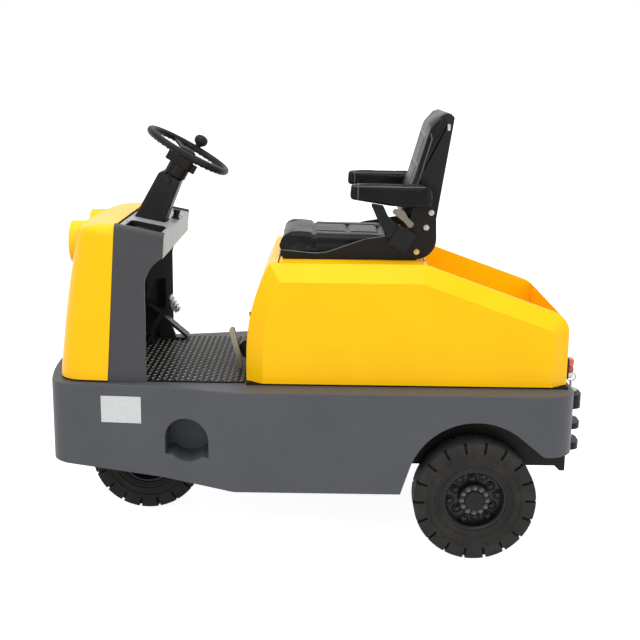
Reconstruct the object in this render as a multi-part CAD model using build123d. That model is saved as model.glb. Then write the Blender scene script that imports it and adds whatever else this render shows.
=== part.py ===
from build123d import *
import os
from math import asin, atan, atan2, cos, degrees, hypot, radians, sin, sqrt, tan

os.makedirs("parts", exist_ok=True)

# Driving sizes in millimetres. X runs forward from the rear axle, Y to the left, Z up from the ground.
# Names in _AHEAD and _BEHIND are measured along X from the front axle, names in _H up from the deck.

# Stance and tyres
WHEELBASE = 1320.0
OVER_TYRES = 1060.0
TYRE_D = 467.0
TYRE_W = 127.0
RIM_D = 240.0
RIM_W = 100.0
RIM_WALL = 12.0
DISC_FACE = 8.0
DISC_BACK = 6.0
LUG_COUNT = 18
LUG_SLOT = 10.0
LUG_DROP = 40.0
LUG_REACH = 34.0

# Chassis shell
DECK_OVER = 178.0
DECK_T = 8.0
WALL = 12.0
CHASSIS_W = 1010.0
WAIST_W = 864.0
NOSE_W = 800.0
TAPER_BEHIND = 400.0
WAIST_BEHIND = 120.0
TAPER_R = 160.0
NOSE_OVERHANG = 355.0
NOSE_BOW = 52.0
NOSE_R = 85.0
TAIL_OVERHANG = 375.0
TAIL_R = 110.0
SILL_Z = 250.0
NOSE_RISE = 82.0
SKIRT_Z = 405.0
SKIRT_X = -258.0
SKIRT_R = 30.0
ARCH_GAP = 28.5
ARCH_LIFT = 44.0
ARCH_FOOT_X = 284.0
RAIL_Z = 335.0
RAIL_T = 8.0
RAIL_GAP = 10.0
RAIL_FLANGE = 60.0
RAIL_FOOT = 20.0
LINER_T = 4.0
STEP_BEHIND = 218.0
STEP_W = 172.0
STEP_Z = 376.0
STEP_H = 150.0
STEP_DEPTH = 120.0
STEP_T = 4.0
BELLY_Z = 300.0
BELLY_T = 10.0
BELLY_LAP = 80.0
BED_T = 20.0
BED_L = 400.0
FLOOR_T = 5.0

# Fits and gaps
SEAT_FIT = 0.3
SHAFT_FIT = 0.05
MOVE_GAP = 6.0
PANEL_GAP = 7.0
SEAL_IN = 2.0
SEAL_W = 12.0

# Battery
BATTERY_X = 300.0
BATTERY_L = 540.0
BATTERY_W = 620.0
BATTERY_H = 640.0
BATTERY_GAP = 20.0

# Rear body
BODY_W = 800.0
BODY_ROOM = 40.0
BODY_SETBACK = 18.0
BODY_H = 467.0
BODY_T = 5.0
BULGE_H = 115.0
BULGE_R = 746.0
BEVEL_SIDE = 65.0
BEVEL_IN = 50.0
BODY_TAIL_R = 85.0
SLOPE_X = 200.0
SLOPE_DEG = 19.5
LOAD_H = 155.0
LOAD_T = 4.0
LOAD_BACK = 25.0
LOAD_HALF = 338.0
LID_SETBACK = 124.0
LID_BACK = 14.0
LID_HALF = 340.0
LID_T = 20.0
LID_R = 20.0
LEDGE_T = 4.0
LEDGE_W = 30.0
HINGE_DROP = 16.0
HINGE_PIN_R = 5.0
HINGE_KNUCKLE_R = 10.0
HINGE_KNUCKLE_L = 60.0
HINGE_POST = 20.0
TAIL_LAMP_Y = 322.0
TAIL_LAMP_W = 45.0
TAIL_LAMP_H = 80.0
TAIL_LAMP_T = 28.0
TAIL_LAMP_RISE = 20.0

# Hood and console
SEAM_AHEAD = 92.0
SEAM_LEAN = 3.8
HOOD_SETBACK = 34.0
HOOD_FOOT_LEAN = 5.0
HOOD_CURVE_R = 4900.0
HOOD_W = 776.0
HOOD_NOSE_W = 748.0
HOOD_BOW = 50.0
HOOD_R = 105.0
HOOD_H = 607.0
HOOD_ROOF_R = 460.0
HOOD_ROOF_FLAT = 28.0
HOOD_EDGE_R = 38.0
HOOD_T = 5.0
LAMP_Y = 185.0
LAMP_DROP = 92.0
LAMP_R = 66.0
LAMP_L = 52.0
COWL_R = 82.0
COWL_REACH = 1.0
CONSOLE_HALF = 384.0
CONSOLE_T = 8.0
CONSOLE_FLANGE = 28.0
CONSOLE_EDGE_R = 16.0
CONSOLE_DEPTH = 150.0
CONSOLE_LIP = 77.0
CONSOLE_LIP_H = 577.0
CONSOLE_FALL = 10.9
APRON_H = 85.0
KNEE_H = 100.0
TRAY_SHEET = 4.0
POCKET_RIM = 17.0
POCKET_W = 196.0
POCKET_D = 28.0
POCKET_R = 26.0
POCKET_Y = 252.0
BULKHEAD_T = 6.0
BULKHEAD_GAP = 12.0
RIB_W = 30.0
RIB_D = 10.0
BEAM_T = 6.0
BEAM_L = 140.0
BEAM_DROP = 44.0

# Steering
COLUMN_RAKE = 29.4
COLUMN_BACK = 115.0
WHEEL_H = 861.0
WHEEL_RIM_R = 168.5
WHEEL_GRIP_R = 14.0
HUB_R = 34.0
HUB_T = 20.0
SPOKE_W = 26.0
SPOKE_T = 8.0
SHAFT_R = 11.0
SWITCH_DROP = 28.0
SWITCH_T = 40.0
SWITCH_W = 72.0
SWITCH_FRONT = 66.0
SWITCH_BACK = 44.0
STALK_W = 20.0
STALK_L = 34.0
HEAD_R = 44.0
HEAD_LEN = 46.0
TUBE_R = 24.0
SHROUD_DROP = 118.0
SHROUD_FRONT = 57.0
SHROUD_BACK = 36.0
SHROUD_FLARE = 7.3
SHROUD_TOP_R = 20.0
SHROUD_W = 120.0
SHROUD_R = 12.0
SHROUD_T = 4.0
CLAMP_R = 13.0
KNOB_DEG = -95.0
KNOB_R = 29.0
KNOB_H = 44.0
KNOB_NECK_R = 12.0

# Steered fork
FORK_PLATE = 18.0
FORK_ROOM = 25.0
FORK_CROWN_T = 30.0
FORK_CROWN_L = 200.0
FORK_EYE_R = 46.0
PIVOT_R = 80.0
RING_R = 125.0
RING_H = 34.0
AXLE_PIN_R = 20.0

# Rear axle and drive
AXLE_TUBE_R = 50.0
STUB_R = 30.0
DRUM_R = 90.0
HUB_OUTER_R = 60.0
HUB_REACH = 46.0
CAP_R = 38.0
GEARCASE_R = 130.0
GEARCASE_W = 180.0
GEARCASE_LIFT = 20.0
MOTOR_R = 105.0
MOTOR_L = 250.0
MOTOR_LIFT = 160.0

# Seat, measured from the armrest pivot along X and from the lid up
SEAT_X = 205.0
SEAT_HALF = 255.0
SEAT_PLATE = 6.0
SEAT_BOSS_R = 12.0
CUSHION_HALF = 222.0
BACK_HALF = 224.0
SHELL_HALF = 228.0
SHELL_T = 5.0
SOFT_R = 12.0
PAN_T = 8.0
ARM_L = 312.0
ARM_W = 56.0
ARM_RISE = 256.0
ARM_PIN_R = 8.0
REEL_W = 34.0

# Tow coupling
HITCH_REACH = 120.0
HITCH_W = 130.0
HITCH_BACK_T = 20.0
HITCH_NOSE_R = 45.0
HITCH_PIN_R = 16.0
HITCH_PIN_TOP = 572.0
HITCH_PLATES = (  # height of the underside, thickness
    (285.0, 32.0),
    (375.0, 26.0),
    (463.0, 60.0),
)

# Values that follow from the sizes above
WHEEL_R = TYRE_D / 2
TRACK_Y = (OVER_TYRES - TYRE_W) / 2
NOSE_X = WHEELBASE + NOSE_OVERHANG
TAIL_X = -TAIL_OVERHANG
HITCH_X = TAIL_X - HITCH_REACH
CENTRE_X = (NOSE_X + HITCH_X) / 2
DECK_Z = TYRE_D + DECK_OVER
SIDE_TOP_Z = DECK_Z - DECK_T
FLOOR_Z = DECK_Z + FLOOR_T
TAPER_X = WHEELBASE - TAPER_BEHIND
ARCH_Z = WHEEL_R + ARCH_LIFT
ARCH_R = WHEEL_R + ARCH_GAP
RAIL_Y = TRACK_Y - TYRE_W / 2 - RAIL_GAP
BATTERY_FRONT_X = BATTERY_X + BATTERY_L
BODY_Z = DECK_Z + PANEL_GAP
BODY_TOP_Z = DECK_Z + BODY_H
BODY_FRONT_X = BATTERY_FRONT_X + BODY_ROOM
BODY_TAIL_X = TAIL_X + BODY_SETBACK
LOAD_Z = DECK_Z + LOAD_H
HINGE_X = SLOPE_X
HINGE_Z = BODY_TOP_Z - HINGE_DROP
LOAD_FRONT_X = HINGE_X - HINGE_KNUCKLE_R - 8.0
LID_BACK_X = HINGE_X + LID_BACK
LID_FRONT_X = BODY_FRONT_X - LID_SETBACK
SEAM_X = WHEELBASE + SEAM_AHEAD
SEAM_RUN = tan(radians(SEAM_LEAN))
HOOD_FOOT_X = NOSE_X - HOOD_SETBACK
HOOD_TOP_Z = DECK_Z + HOOD_H
LAMP_Z = HOOD_TOP_Z - LAMP_DROP
CONSOLE_BACK_X = SEAM_X - CONSOLE_DEPTH
CONSOLE_LIP_X = CONSOLE_BACK_X - CONSOLE_LIP
CONSOLE_LIP_Z = DECK_Z + CONSOLE_LIP_H
CONSOLE_IN = CONSOLE_HALF - CONSOLE_T
WHEEL_X = SEAM_X - COLUMN_BACK - (WHEEL_H - CONSOLE_LIP_H) * tan(radians(COLUMN_RAKE))
WHEEL_Z = DECK_Z + WHEEL_H
FORK_CROWN_Z = TYRE_D + FORK_ROOM
FORK_TOP_Z = FORK_CROWN_Z + FORK_CROWN_T
BED_Z = FORK_TOP_Z + RING_H
ARM_PIVOT_Z = BODY_TOP_Z + ARM_RISE
PAD_Z = BODY_TOP_Z + PAN_T + SEAT_FIT
FAR = 3000.0


def side_slab(face, y0, y1):
    """Solid from a side-view face of (x, z) between two Y places."""
    return extrude(Plane((0, y1, 0), x_dir=(1, 0, 0), z_dir=(0, -1, 0)) * face, y1 - y0)


def plan_slab(face, z0, z1):
    """Solid from a plan face of (x, y) between two heights."""
    return extrude(Pos(0, 0, z0) * face, z1 - z0)


def block(x0, x1, y0, y1, z0, z1):
    """Box between two corners."""
    centre = Pos((x0 + x1) / 2, (y0 + y1) / 2, (z0 + z1) / 2)
    return centre * Box(x1 - x0, y1 - y0, z1 - z0)


def rounded(points):
    """Flat face through (u, v, radius) corners."""
    face = make_face(Polyline(*[(u, v) for u, v, _ in points], close=True))
    for u, v, radius in points:
        if radius > 0:
            face = fillet(face.vertices().sort_by_distance((u, v, 0))[0], radius)
    return face


def spun(points):
    """Solid of revolution about Y through (radius, y) corners."""
    return revolve(make_face(Polyline(*points, close=True)), Axis.Y)


def rod_y(radius, x, z, y0, y1):
    """Round bar along Y."""
    return Pos(x, (y0 + y1) / 2, z) * Rot(90, 0, 0) * Cylinder(radius, y1 - y0)


def rod_x(radius, y, z, x0, x1):
    """Round bar along X."""
    return Pos((x0 + x1) / 2, y, z) * Rot(0, 90, 0) * Cylinder(radius, x1 - x0)


def rod_z(radius, x, y, z0, z1):
    """Round bar along Z."""
    return Pos(x, y, (z0 + z1) / 2) * Cylinder(radius, z1 - z0)


def pair(shape):
    """The shape and its mirror image across the middle plane."""
    return [shape, mirror(shape, Plane.XZ)]


def side_edges(shape, half):
    """Edges that lie on the two outer side faces of a slab that spans plus and minus half."""
    return shape.edges().filter_by(lambda edge: abs(edge.center().Y) > half - 1)


def save(name, *shapes):
    """Write one node, moved so that the part stands centred on its frame."""
    solids = [solid for shape in shapes for solid in (Pos(-CENTRE_X, 0, 0) * shape).solids()]
    export_step(Compound(children=solids), f"parts/{name}.step")


def tangent_foot(centre, radius, point, side):
    """Where a line from the point touches the circle, on the side given as +1 or -1."""
    dx = point[0] - centre[0]
    dz = point[1] - centre[1]
    reach = hypot(dx, dz)
    turn = atan2(dz, dx) + side * (radians(90) - asin(radius / reach))
    return (centre[0] + radius * cos(turn), centre[1] + radius * sin(turn))


# Chassis outline in plan, and the same outline inside the plates
def plan_outline():
    waist_x = WHEELBASE - WAIST_BEHIND
    left = [
        (TAIL_X, CHASSIS_W / 2),
        (TAPER_X, CHASSIS_W / 2),
        (waist_x, WAIST_W / 2),
        (NOSE_X - NOSE_BOW, NOSE_W / 2),
    ]
    right = [(x, -y) for x, y in reversed(left)]
    edges = Polyline(*left) + ThreePointArc(left[-1], (NOSE_X, 0), right[0])
    edges += Polyline(*right, left[0])
    face = make_face(edges)
    for (x, y), radius in zip(left, (TAIL_R, TAPER_R, TAPER_R, NOSE_R)):
        for sign in (1, -1):
            face = fillet(face.vertices().sort_by_distance((x, sign * y, 0))[0], radius)
    return face


outer_plan = plan_outline()
inner_plan = offset(outer_plan, -WALL)
inner_space = plan_slab(inner_plan, 0, SIDE_TOP_Z)

# Wheel arch in side view: a round top that runs into straight sides
arch_centre = (0.0, ARCH_Z)
arch_front = tangent_foot(arch_centre, ARCH_R, (ARCH_FOOT_X, SILL_Z), 1)
arch_back = tangent_foot(arch_centre, ARCH_R, (SKIRT_X, SKIRT_Z), -1)
foot_run = (ARCH_FOOT_X - arch_front[0]) / (arch_front[1] - SILL_Z)
arch_legs = Polyline(
    arch_centre,
    arch_front,
    (ARCH_FOOT_X + SILL_Z * foot_run, 0),
    (-FAR, 0),
    (-FAR, SKIRT_Z),
    (SKIRT_X, SKIRT_Z),
    arch_back,
    close=True,
)
arch_face = make_face(arch_legs) + Pos(*arch_centre) * Circle(ARCH_R)
arch_face = fillet(arch_face.vertices().sort_by_distance((SKIRT_X, SKIRT_Z, 0))[0], SKIRT_R)

# Side view of the chassis plates
sill_face = rounded(
    [
        (-FAR, SILL_Z, 0),
        (TAPER_X, SILL_Z, 0),
        (NOSE_X, SILL_Z + NOSE_RISE, 0),
        (FAR, SILL_Z + NOSE_RISE, 0),
        (FAR, SIDE_TOP_Z, 0),
        (-FAR, SIDE_TOP_Z, 0),
    ]
)
plate_zone = side_slab(sill_face - arch_face, -CHASSIS_W, CHASSIS_W)
plates = plan_slab(outer_plan - inner_plan, 0, SIDE_TOP_Z) & plate_zone

# Step pocket with a flat floor and an arched top
step_x = WHEELBASE - STEP_BEHIND
step_r = STEP_W / 2
step_spring_z = STEP_Z + STEP_H - step_r
step_face = Pos(step_x, step_spring_z) * Circle(step_r)
step_face += Pos(step_x, (STEP_Z + step_spring_z) / 2) * Rectangle(STEP_W, step_spring_z - STEP_Z)
step_back_y = WAIST_W / 2 - STEP_DEPTH
step_hole = side_slab(step_face, step_back_y, CHASSIS_W)
step_cup = side_slab(offset(step_face, STEP_T), step_back_y - STEP_T, CHASSIS_W) - step_hole
step_cup &= inner_space

nose_split_x = NOSE_X - NOSE_BOW - 1.25 * NOSE_R
tail_split_x = TAIL_X + TAIL_R
plate_left = plates & block(tail_split_x, nose_split_x, 0, FAR, 0, FAR)
save("chassis_side_left", plate_left - step_hole)
save("chassis_side_right", mirror(plate_left - step_hole, Plane.XZ))
save("chassis_nose", plates & block(nose_split_x, FAR, -FAR, FAR, 0, FAR))
save("chassis_tail", plates & block(-FAR, tail_split_x, -FAR, FAR, 0, FAR))
save("step_pockets", *pair(step_cup))

# Deck with the battery well
well_half = BATTERY_W / 2 + BATTERY_GAP
battery_well = block(
    BATTERY_X - BATTERY_GAP, BATTERY_FRONT_X + BATTERY_GAP, -well_half, well_half, 0, FAR
)
deck = plan_slab(outer_plan, SIDE_TOP_Z, DECK_Z)
deck = fillet(deck.faces().sort_by(Axis.Z)[-1].edges(), DECK_T * 0.6)
save("chassis_deck", deck - battery_well)

# Wheel houses: a frame rail with a foot flange and the arch liner
rail_back_x = TAIL_X + WALL + SEAL_IN
rail_face = rounded(
    [
        (rail_back_x, RAIL_Z - RAIL_FOOT, 0),
        (rail_back_x + RAIL_FOOT, RAIL_Z - RAIL_FOOT, 0),
        (rail_back_x + 2 * RAIL_FOOT, RAIL_Z, 0),
        (BATTERY_X, RAIL_Z, 0),
        (BATTERY_X, SIDE_TOP_Z, 0),
        (rail_back_x, SIDE_TOP_Z, 0),
    ]
)
rail = side_slab(rail_face, RAIL_Y - RAIL_T, RAIL_Y)
rail += block(-BATTERY_X / 2, BATTERY_X, RAIL_Y - RAIL_FLANGE, RAIL_Y - RAIL_T, RAIL_Z, RAIL_Z + RAIL_T)
liner_zone = rounded(
    [
        (SKIRT_X, SKIRT_Z + SKIRT_R, 0),
        (BATTERY_X, RAIL_Z, 0),
        (BATTERY_X, SIDE_TOP_Z, 0),
        (SKIRT_X, SIDE_TOP_Z, 0),
    ]
)
liner_face = (offset(arch_face, LINER_T + SEAL_IN) - offset(arch_face, SEAL_IN)) & liner_zone
liner = side_slab(liner_face, RAIL_Y, CHASSIS_W) & inner_space
save("wheel_houses", *pair(rail + liner))

# Belly plate under the battery and the bed that carries the steering pivot
belly = plan_slab(inner_plan, BELLY_Z - BELLY_T, BELLY_Z)
belly &= block(BATTERY_X + MOVE_GAP, BATTERY_FRONT_X + BELLY_LAP, -FAR, FAR, 0, FAR)
save("belly_plate", belly)
bed = plan_slab(inner_plan, BED_Z, BED_Z + BED_T)
bed &= block(WHEELBASE - BED_L / 2, WHEELBASE + BED_L / 2, -FAR, FAR, 0, FAR)
save("steering_bed", bed - pair(step_hole) - pair(step_cup))

# Battery as one plain block
battery_half = BATTERY_W / 2
save(
    "battery",
    block(BATTERY_X, BATTERY_FRONT_X, -battery_half, battery_half, BELLY_Z, BELLY_Z + BATTERY_H),
)


# Rear body shell
def body_profile():
    slope = tan(radians(SLOPE_DEG))
    bulge_z = DECK_Z + BULGE_H
    bulge_x = BODY_FRONT_X - BULGE_R
    bulge_end = BODY_TOP_Z - bulge_z
    front_top_x = bulge_x + sqrt(BULGE_R**2 - bulge_end**2)
    half_turn = asin(bulge_end / BULGE_R) / 2
    bulge_mid = (bulge_x + BULGE_R * cos(half_turn), bulge_z + BULGE_R * sin(half_turn))
    edges = Line((BODY_FRONT_X, SIDE_TOP_Z), (BODY_FRONT_X, bulge_z))
    edges += ThreePointArc((BODY_FRONT_X, bulge_z), bulge_mid, (front_top_x, BODY_TOP_Z))
    tail_corner = (BODY_TAIL_X, BODY_TOP_Z - (SLOPE_X - BODY_TAIL_X) * slope)
    edges += Polyline(
        (front_top_x, BODY_TOP_Z),
        (SLOPE_X, BODY_TOP_Z),
        tail_corner,
        (BODY_TAIL_X, SIDE_TOP_Z),
        (BODY_FRONT_X, SIDE_TOP_Z),
    )
    face = make_face(edges)
    return fillet(face.vertices().sort_by_distance((*tail_corner, 0))[0], BODY_TAIL_R)


def body_solid(inset):
    profile = body_profile()
    if inset > 0:
        profile = offset(profile, -inset)
    half = BODY_W / 2 - inset
    solid = side_slab(profile, -half, half)
    for place in (-1, 0):
        side = solid.faces().sort_by(Axis.Y)[place]
        crest = side.edges().sort_by(Axis.Z)[1:]
        solid = chamfer(crest, BEVEL_SIDE, BEVEL_IN, reference=side)
    return solid


body_zone = block(-FAR, FAR, -FAR, FAR, BODY_Z, FAR)
body_void = body_solid(BODY_T) & body_zone
body = (body_solid(0) & body_zone) - body_void
lid_hole = block(
    LOAD_FRONT_X + LOAD_T,
    LID_FRONT_X + MOVE_GAP,
    -LID_HALF - MOVE_GAP,
    LID_HALF + MOVE_GAP,
    BODY_TOP_Z - 1.5 * LID_T,
    FAR,
)
load_back_x = BODY_TAIL_X + BODY_T + LOAD_BACK
load_hole = block(load_back_x, LOAD_FRONT_X + LOAD_T, -LOAD_HALF, LOAD_HALF, LOAD_Z, FAR)
body = body - lid_hole - load_hole
body_split = LID_HALF + MOVE_GAP
body_side = body & block(-FAR, FAR, body_split, FAR, 0, FAR)
body_middle = body & block(-FAR, FAR, -body_split, body_split, 0, FAR)
save("body_sides", *pair(body_side))
save("body_front", body_middle & block(BATTERY_X, FAR, -FAR, FAR, 0, FAR))
save("body_tail", body_middle & block(-FAR, BATTERY_X, -FAR, FAR, 0, FAR))

# Load tray behind the seat, and the ledge the lid rests on
load_tray = block(
    load_back_x - LOAD_T,
    LOAD_FRONT_X + LOAD_T,
    -LOAD_HALF - LOAD_T,
    LOAD_HALF + LOAD_T,
    LOAD_Z - LOAD_T,
    BODY_TOP_Z - LID_T,
)
load_tray -= block(load_back_x, LOAD_FRONT_X, -LOAD_HALF, LOAD_HALF, LOAD_Z, FAR)
save("load_tray", load_tray & body_void)
ledge_top = BODY_TOP_Z - LID_T - SEAT_FIT
ledge_x0 = LOAD_FRONT_X + LOAD_T
ledge = block(ledge_x0, FAR, -FAR, FAR, ledge_top - LEDGE_T, ledge_top) & body_void
ledge_in = LID_HALF - LEDGE_W
ledge -= block(ledge_x0 + 2 * LEDGE_W, LID_FRONT_X - LEDGE_W, -ledge_in, ledge_in, 0, FAR)

# Lid hinge: the pin and its end posts stay with the ledge, the knuckles go with the lid
hinge_half = LID_HALF - 2 * HINGE_POST
hinge_front_x = HINGE_X + HINGE_KNUCKLE_R + MOVE_GAP
ledge -= block(ledge_x0, hinge_front_x, -hinge_half, hinge_half, 0, FAR)
pin_end = hinge_half + HINGE_POST / 2
ledge += rod_y(HINGE_PIN_R, HINGE_X, HINGE_Z, -pin_end, pin_end)
post_r = HINGE_KNUCKLE_R - 1.0
for post_y in (hinge_half, -hinge_half):
    post_y0 = post_y - HINGE_POST / 2
    ledge += block(
        HINGE_X - post_r, HINGE_X + post_r, post_y0, post_y0 + HINGE_POST, ledge_top, HINGE_Z + post_r
    )
save("lid_ledge", ledge)

# Seat lid
lid = block(LID_BACK_X, LID_FRONT_X, -LID_HALF, LID_HALF, BODY_TOP_Z - LID_T, BODY_TOP_Z)
lid = fillet(lid.edges().filter_by(Axis.Z), LID_R)
knuckle_y = hinge_half - HINGE_POST / 2 - MOVE_GAP - HINGE_KNUCKLE_L
strap_x = LID_BACK_X + LID_R
strap_top = HINGE_Z + HINGE_KNUCKLE_R - 2.0
for y0 in (knuckle_y, -knuckle_y - HINGE_KNUCKLE_L):
    lid += rod_y(HINGE_KNUCKLE_R, HINGE_X, HINGE_Z, y0, y0 + HINGE_KNUCKLE_L)
    lid += block(HINGE_X, strap_x, y0, y0 + HINGE_KNUCKLE_L, HINGE_Z, strap_top)
lid -= rod_y(HINGE_PIN_R + SHAFT_FIT, HINGE_X, HINGE_Z, -LID_HALF, LID_HALF)
save("seat_lid", lid)

# Tail lamps on the rear of the body
lamp_low = BODY_Z + TAIL_LAMP_RISE
lamp_y0 = TAIL_LAMP_Y - TAIL_LAMP_W / 2
tail_lamp = block(
    BODY_TAIL_X - TAIL_LAMP_T,
    BODY_TAIL_X,
    lamp_y0,
    lamp_y0 + TAIL_LAMP_W,
    lamp_low,
    lamp_low + TAIL_LAMP_H,
)
tail_lamp = fillet(tail_lamp.edges().filter_by(Axis.X), TAIL_LAMP_W / 4)
save("tail_lamps", *pair(tail_lamp))

# Floor plate between the rear body and the console
floor_half = CONSOLE_HALF - WALL
save(
    "floor_plate",
    block(BODY_FRONT_X + FLOOR_T, SEAM_X - RIB_W, -floor_half, floor_half, DECK_Z, FLOOR_Z),
)


# Front hood: the plan outline swings about a far axis, so the nose leans back more towards the top
def hood_plan(inset):
    pivot_x = HOOD_FOOT_X - HOOD_CURVE_R * cos(radians(HOOD_FOOT_LEAN))
    front = pivot_x + HOOD_CURVE_R - inset
    nose = HOOD_NOSE_W / 2 - inset
    start = front - HOOD_BOW
    spread = (HOOD_W - HOOD_NOSE_W) / 2 / (HOOD_FOOT_X - SEAM_X - HOOD_BOW)
    depth = 2 * (HOOD_FOOT_X - SEAM_X)
    half = nose + depth * spread
    edges = Polyline((start, -nose), (start - depth, -half), (start - depth, half), (start, nose))
    edges += ThreePointArc((start, nose), (front, 0), (start, -nose))
    face = make_face(edges)
    for sign in (1, -1):
        face = fillet(face.vertices().sort_by_distance((start, sign * nose, 0))[0], HOOD_R - inset)
    return face


def hood_outline(inset):
    roof_z = HOOD_TOP_Z - inset
    roof_r = HOOD_ROOF_R - inset
    seam_top = SEAM_X - (roof_z - DECK_Z) * SEAM_RUN
    curve_x = seam_top + HOOD_ROOF_FLAT

    def roof_point(turn):
        return (curve_x + roof_r * sin(radians(turn)), roof_z - roof_r * (1 - cos(radians(turn))))

    roof_end = roof_point(45)
    edges = Polyline(
        roof_end,
        (roof_end[0], DECK_Z),
        (SEAM_X, DECK_Z),
        (seam_top, roof_z),
        (curve_x, roof_z),
    )
    edges += ThreePointArc((curve_x, roof_z), roof_point(22), roof_end)
    return make_face(edges)


def hood_solid(inset):
    swing = radians(HOOD_FOOT_LEAN)
    pivot = (HOOD_FOOT_X - HOOD_CURVE_R * cos(swing), 0, BODY_Z - HOOD_CURVE_R * sin(swing))
    solid = revolve(Pos(0, 0, pivot[2]) * hood_plan(inset), Axis(pivot, (0, -1, 0)), 15)
    return solid & side_slab(hood_outline(inset), -FAR, FAR)


def hood_shape(inset):
    solid = hood_solid(inset)
    seam_top = SEAM_X - (HOOD_TOP_Z - DECK_Z) * SEAM_RUN
    flat_end = seam_top + HOOD_ROOF_FLAT
    crest = solid.edges().filter_by(lambda edge: edge.center().Z > HOOD_TOP_Z - 2 * HOOD_EDGE_R)
    crest = crest.filter_by(lambda edge: abs(edge.center().Y) > 1 or edge.center().X > flat_end + HOOD_T)
    crest = crest.filter_by(lambda edge: edge.center().X > seam_top + HOOD_T)
    return fillet(crest, HOOD_EDGE_R - inset)


hood = hood_shape(0) & body_zone
lamp_turn = asin((LAMP_Z - BODY_Z) / HOOD_CURVE_R + sin(radians(HOOD_FOOT_LEAN)))
nose_drop = HOOD_CURVE_R * (cos(radians(HOOD_FOOT_LEAN)) - cos(lamp_turn))
cowl_x = HOOD_FOOT_X - nose_drop + COWL_REACH
cowl_foot_x = cowl_x - 2 * LAMP_L
hood += pair(rod_x(COWL_R, LAMP_Y, LAMP_Z, cowl_foot_x, cowl_x))
hood -= hood_shape(HOOD_T)
lamp_back_x = cowl_x - LAMP_L - CONSOLE_T
hood -= pair(rod_x(LAMP_R + SEAT_FIT, LAMP_Y, LAMP_Z, cowl_foot_x, FAR))
save("front_hood", hood)
lens = rod_x(LAMP_R, LAMP_Y, LAMP_Z, lamp_back_x, lamp_back_x + LAMP_L)
lens = chamfer(lens.edges().sort_by(Axis.X)[-1], 5.0)
save("headlamps", *pair(lens))

# Rubber seals under the rear body and the hood
seal_zone = block(-FAR, FAR, -FAR, FAR, DECK_Z, BODY_Z)


def seal_block(inset):
    half = BODY_W / 2 - inset
    return block(BODY_TAIL_X + inset, BODY_FRONT_X - inset, -half, half, DECK_Z, BODY_Z)


body_seal = seal_block(SEAL_IN) - seal_block(SEAL_IN + SEAL_W)
hood_seal = (hood_solid(SEAL_IN) - hood_solid(SEAL_IN + SEAL_W)) & seal_zone
save("body_seals", body_seal, hood_seal)

# Console side panels: a knee cut-out and a rolled top edge
fall = tan(radians(CONSOLE_FALL))
panel_seam_x = SEAM_X - 1.0
lip_low_z = CONSOLE_LIP_Z - APRON_H - CONSOLE_T
knee_z = lip_low_z - KNEE_H
lip_run = panel_seam_x - (CONSOLE_LIP_Z - DECK_Z) * SEAM_RUN - CONSOLE_LIP_X
lip_rise = lip_run * fall / (1 + fall * SEAM_RUN)
panel_top = (panel_seam_x - (CONSOLE_LIP_Z + lip_rise - DECK_Z) * SEAM_RUN, CONSOLE_LIP_Z + lip_rise)
lip = (CONSOLE_LIP_X, CONSOLE_LIP_Z)
lip_low = (CONSOLE_LIP_X + CONSOLE_T, lip_low_z)
knee = (CONSOLE_BACK_X, knee_z)
knee_mid = (CONSOLE_BACK_X - 0.2 * CONSOLE_LIP, knee_z + 0.46 * KNEE_H)
panel_edges = Polyline(knee, (CONSOLE_BACK_X, DECK_Z), (panel_seam_x, DECK_Z), panel_top, lip, lip_low)
panel_edges += ThreePointArc(lip_low, knee_mid, knee)
panel = side_slab(make_face(panel_edges), CONSOLE_IN, CONSOLE_HALF)
flange_face = make_face(
    Polyline(
        lip,
        panel_top,
        (panel_top[0], panel_top[1] - CONSOLE_T),
        (lip[0], lip[1] - CONSOLE_T),
        close=True,
    )
)
panel += side_slab(flange_face, CONSOLE_HALF - CONSOLE_FLANGE, CONSOLE_HALF)
roll_y = CONSOLE_HALF - CONSOLE_EDGE_R
roll_run = 2 * CONSOLE_DEPTH
roll_waste = block(
    -roll_run,
    roll_run,
    roll_y,
    CONSOLE_HALF + CONSOLE_EDGE_R,
    -CONSOLE_EDGE_R,
    CONSOLE_EDGE_R,
)
roll_waste -= rod_x(CONSOLE_EDGE_R, roll_y, -CONSOLE_EDGE_R, -roll_run, roll_run)
lip_frame = Location(Plane((lip[0], 0, lip[1]), x_dir=(1, 0, fall), z_dir=(-fall, 0, 1)))
save("console_panels", *pair(panel - lip_frame * roll_waste))

# Console tray with its rear apron, an oddments pocket and the column opening
tray_drop = CONSOLE_T + SEAT_FIT
tray_rear = (CONSOLE_LIP_X + 1.0, CONSOLE_LIP_Z - tray_drop)
tray_run = panel_top[0] - CONSOLE_T - tray_rear[0]
tray_front = (tray_rear[0] + tray_run, tray_rear[1] + tray_run * fall)
apron_foot = (tray_rear[0] + FLOOR_T, tray_rear[1] - APRON_H)
tray_face = rounded(
    [
        (*tray_front, 0),
        (*tray_rear, 2 * TRAY_SHEET),
        (*apron_foot, 0),
        (apron_foot[0] + TRAY_SHEET, apron_foot[1], 0),
        (tray_rear[0] + 1.2 * TRAY_SHEET, tray_rear[1] - TRAY_SHEET, TRAY_SHEET),
        (tray_front[0], tray_front[1] - TRAY_SHEET, 0),
    ]
)
console_tray = side_slab(tray_face, -CONSOLE_IN, CONSOLE_IN)
tray_frame = Location(
    Plane(
        ((tray_rear[0] + tray_front[0]) / 2, POCKET_Y, (tray_rear[1] + tray_front[1]) / 2),
        x_dir=(1, 0, fall),
        z_dir=(-fall, 0, 1),
    )
)
pocket_l = tray_run - 2 * POCKET_RIM
pocket_face = RectangleRounded(pocket_l, POCKET_W, POCKET_R)
pocket_wall = offset(pocket_face, TRAY_SHEET)
console_tray += tray_frame * extrude(pocket_wall, -POCKET_D - TRAY_SHEET)
console_tray -= tray_frame * Pos(0, 0, -POCKET_D) * extrude(pocket_face, 2 * POCKET_D)

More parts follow.
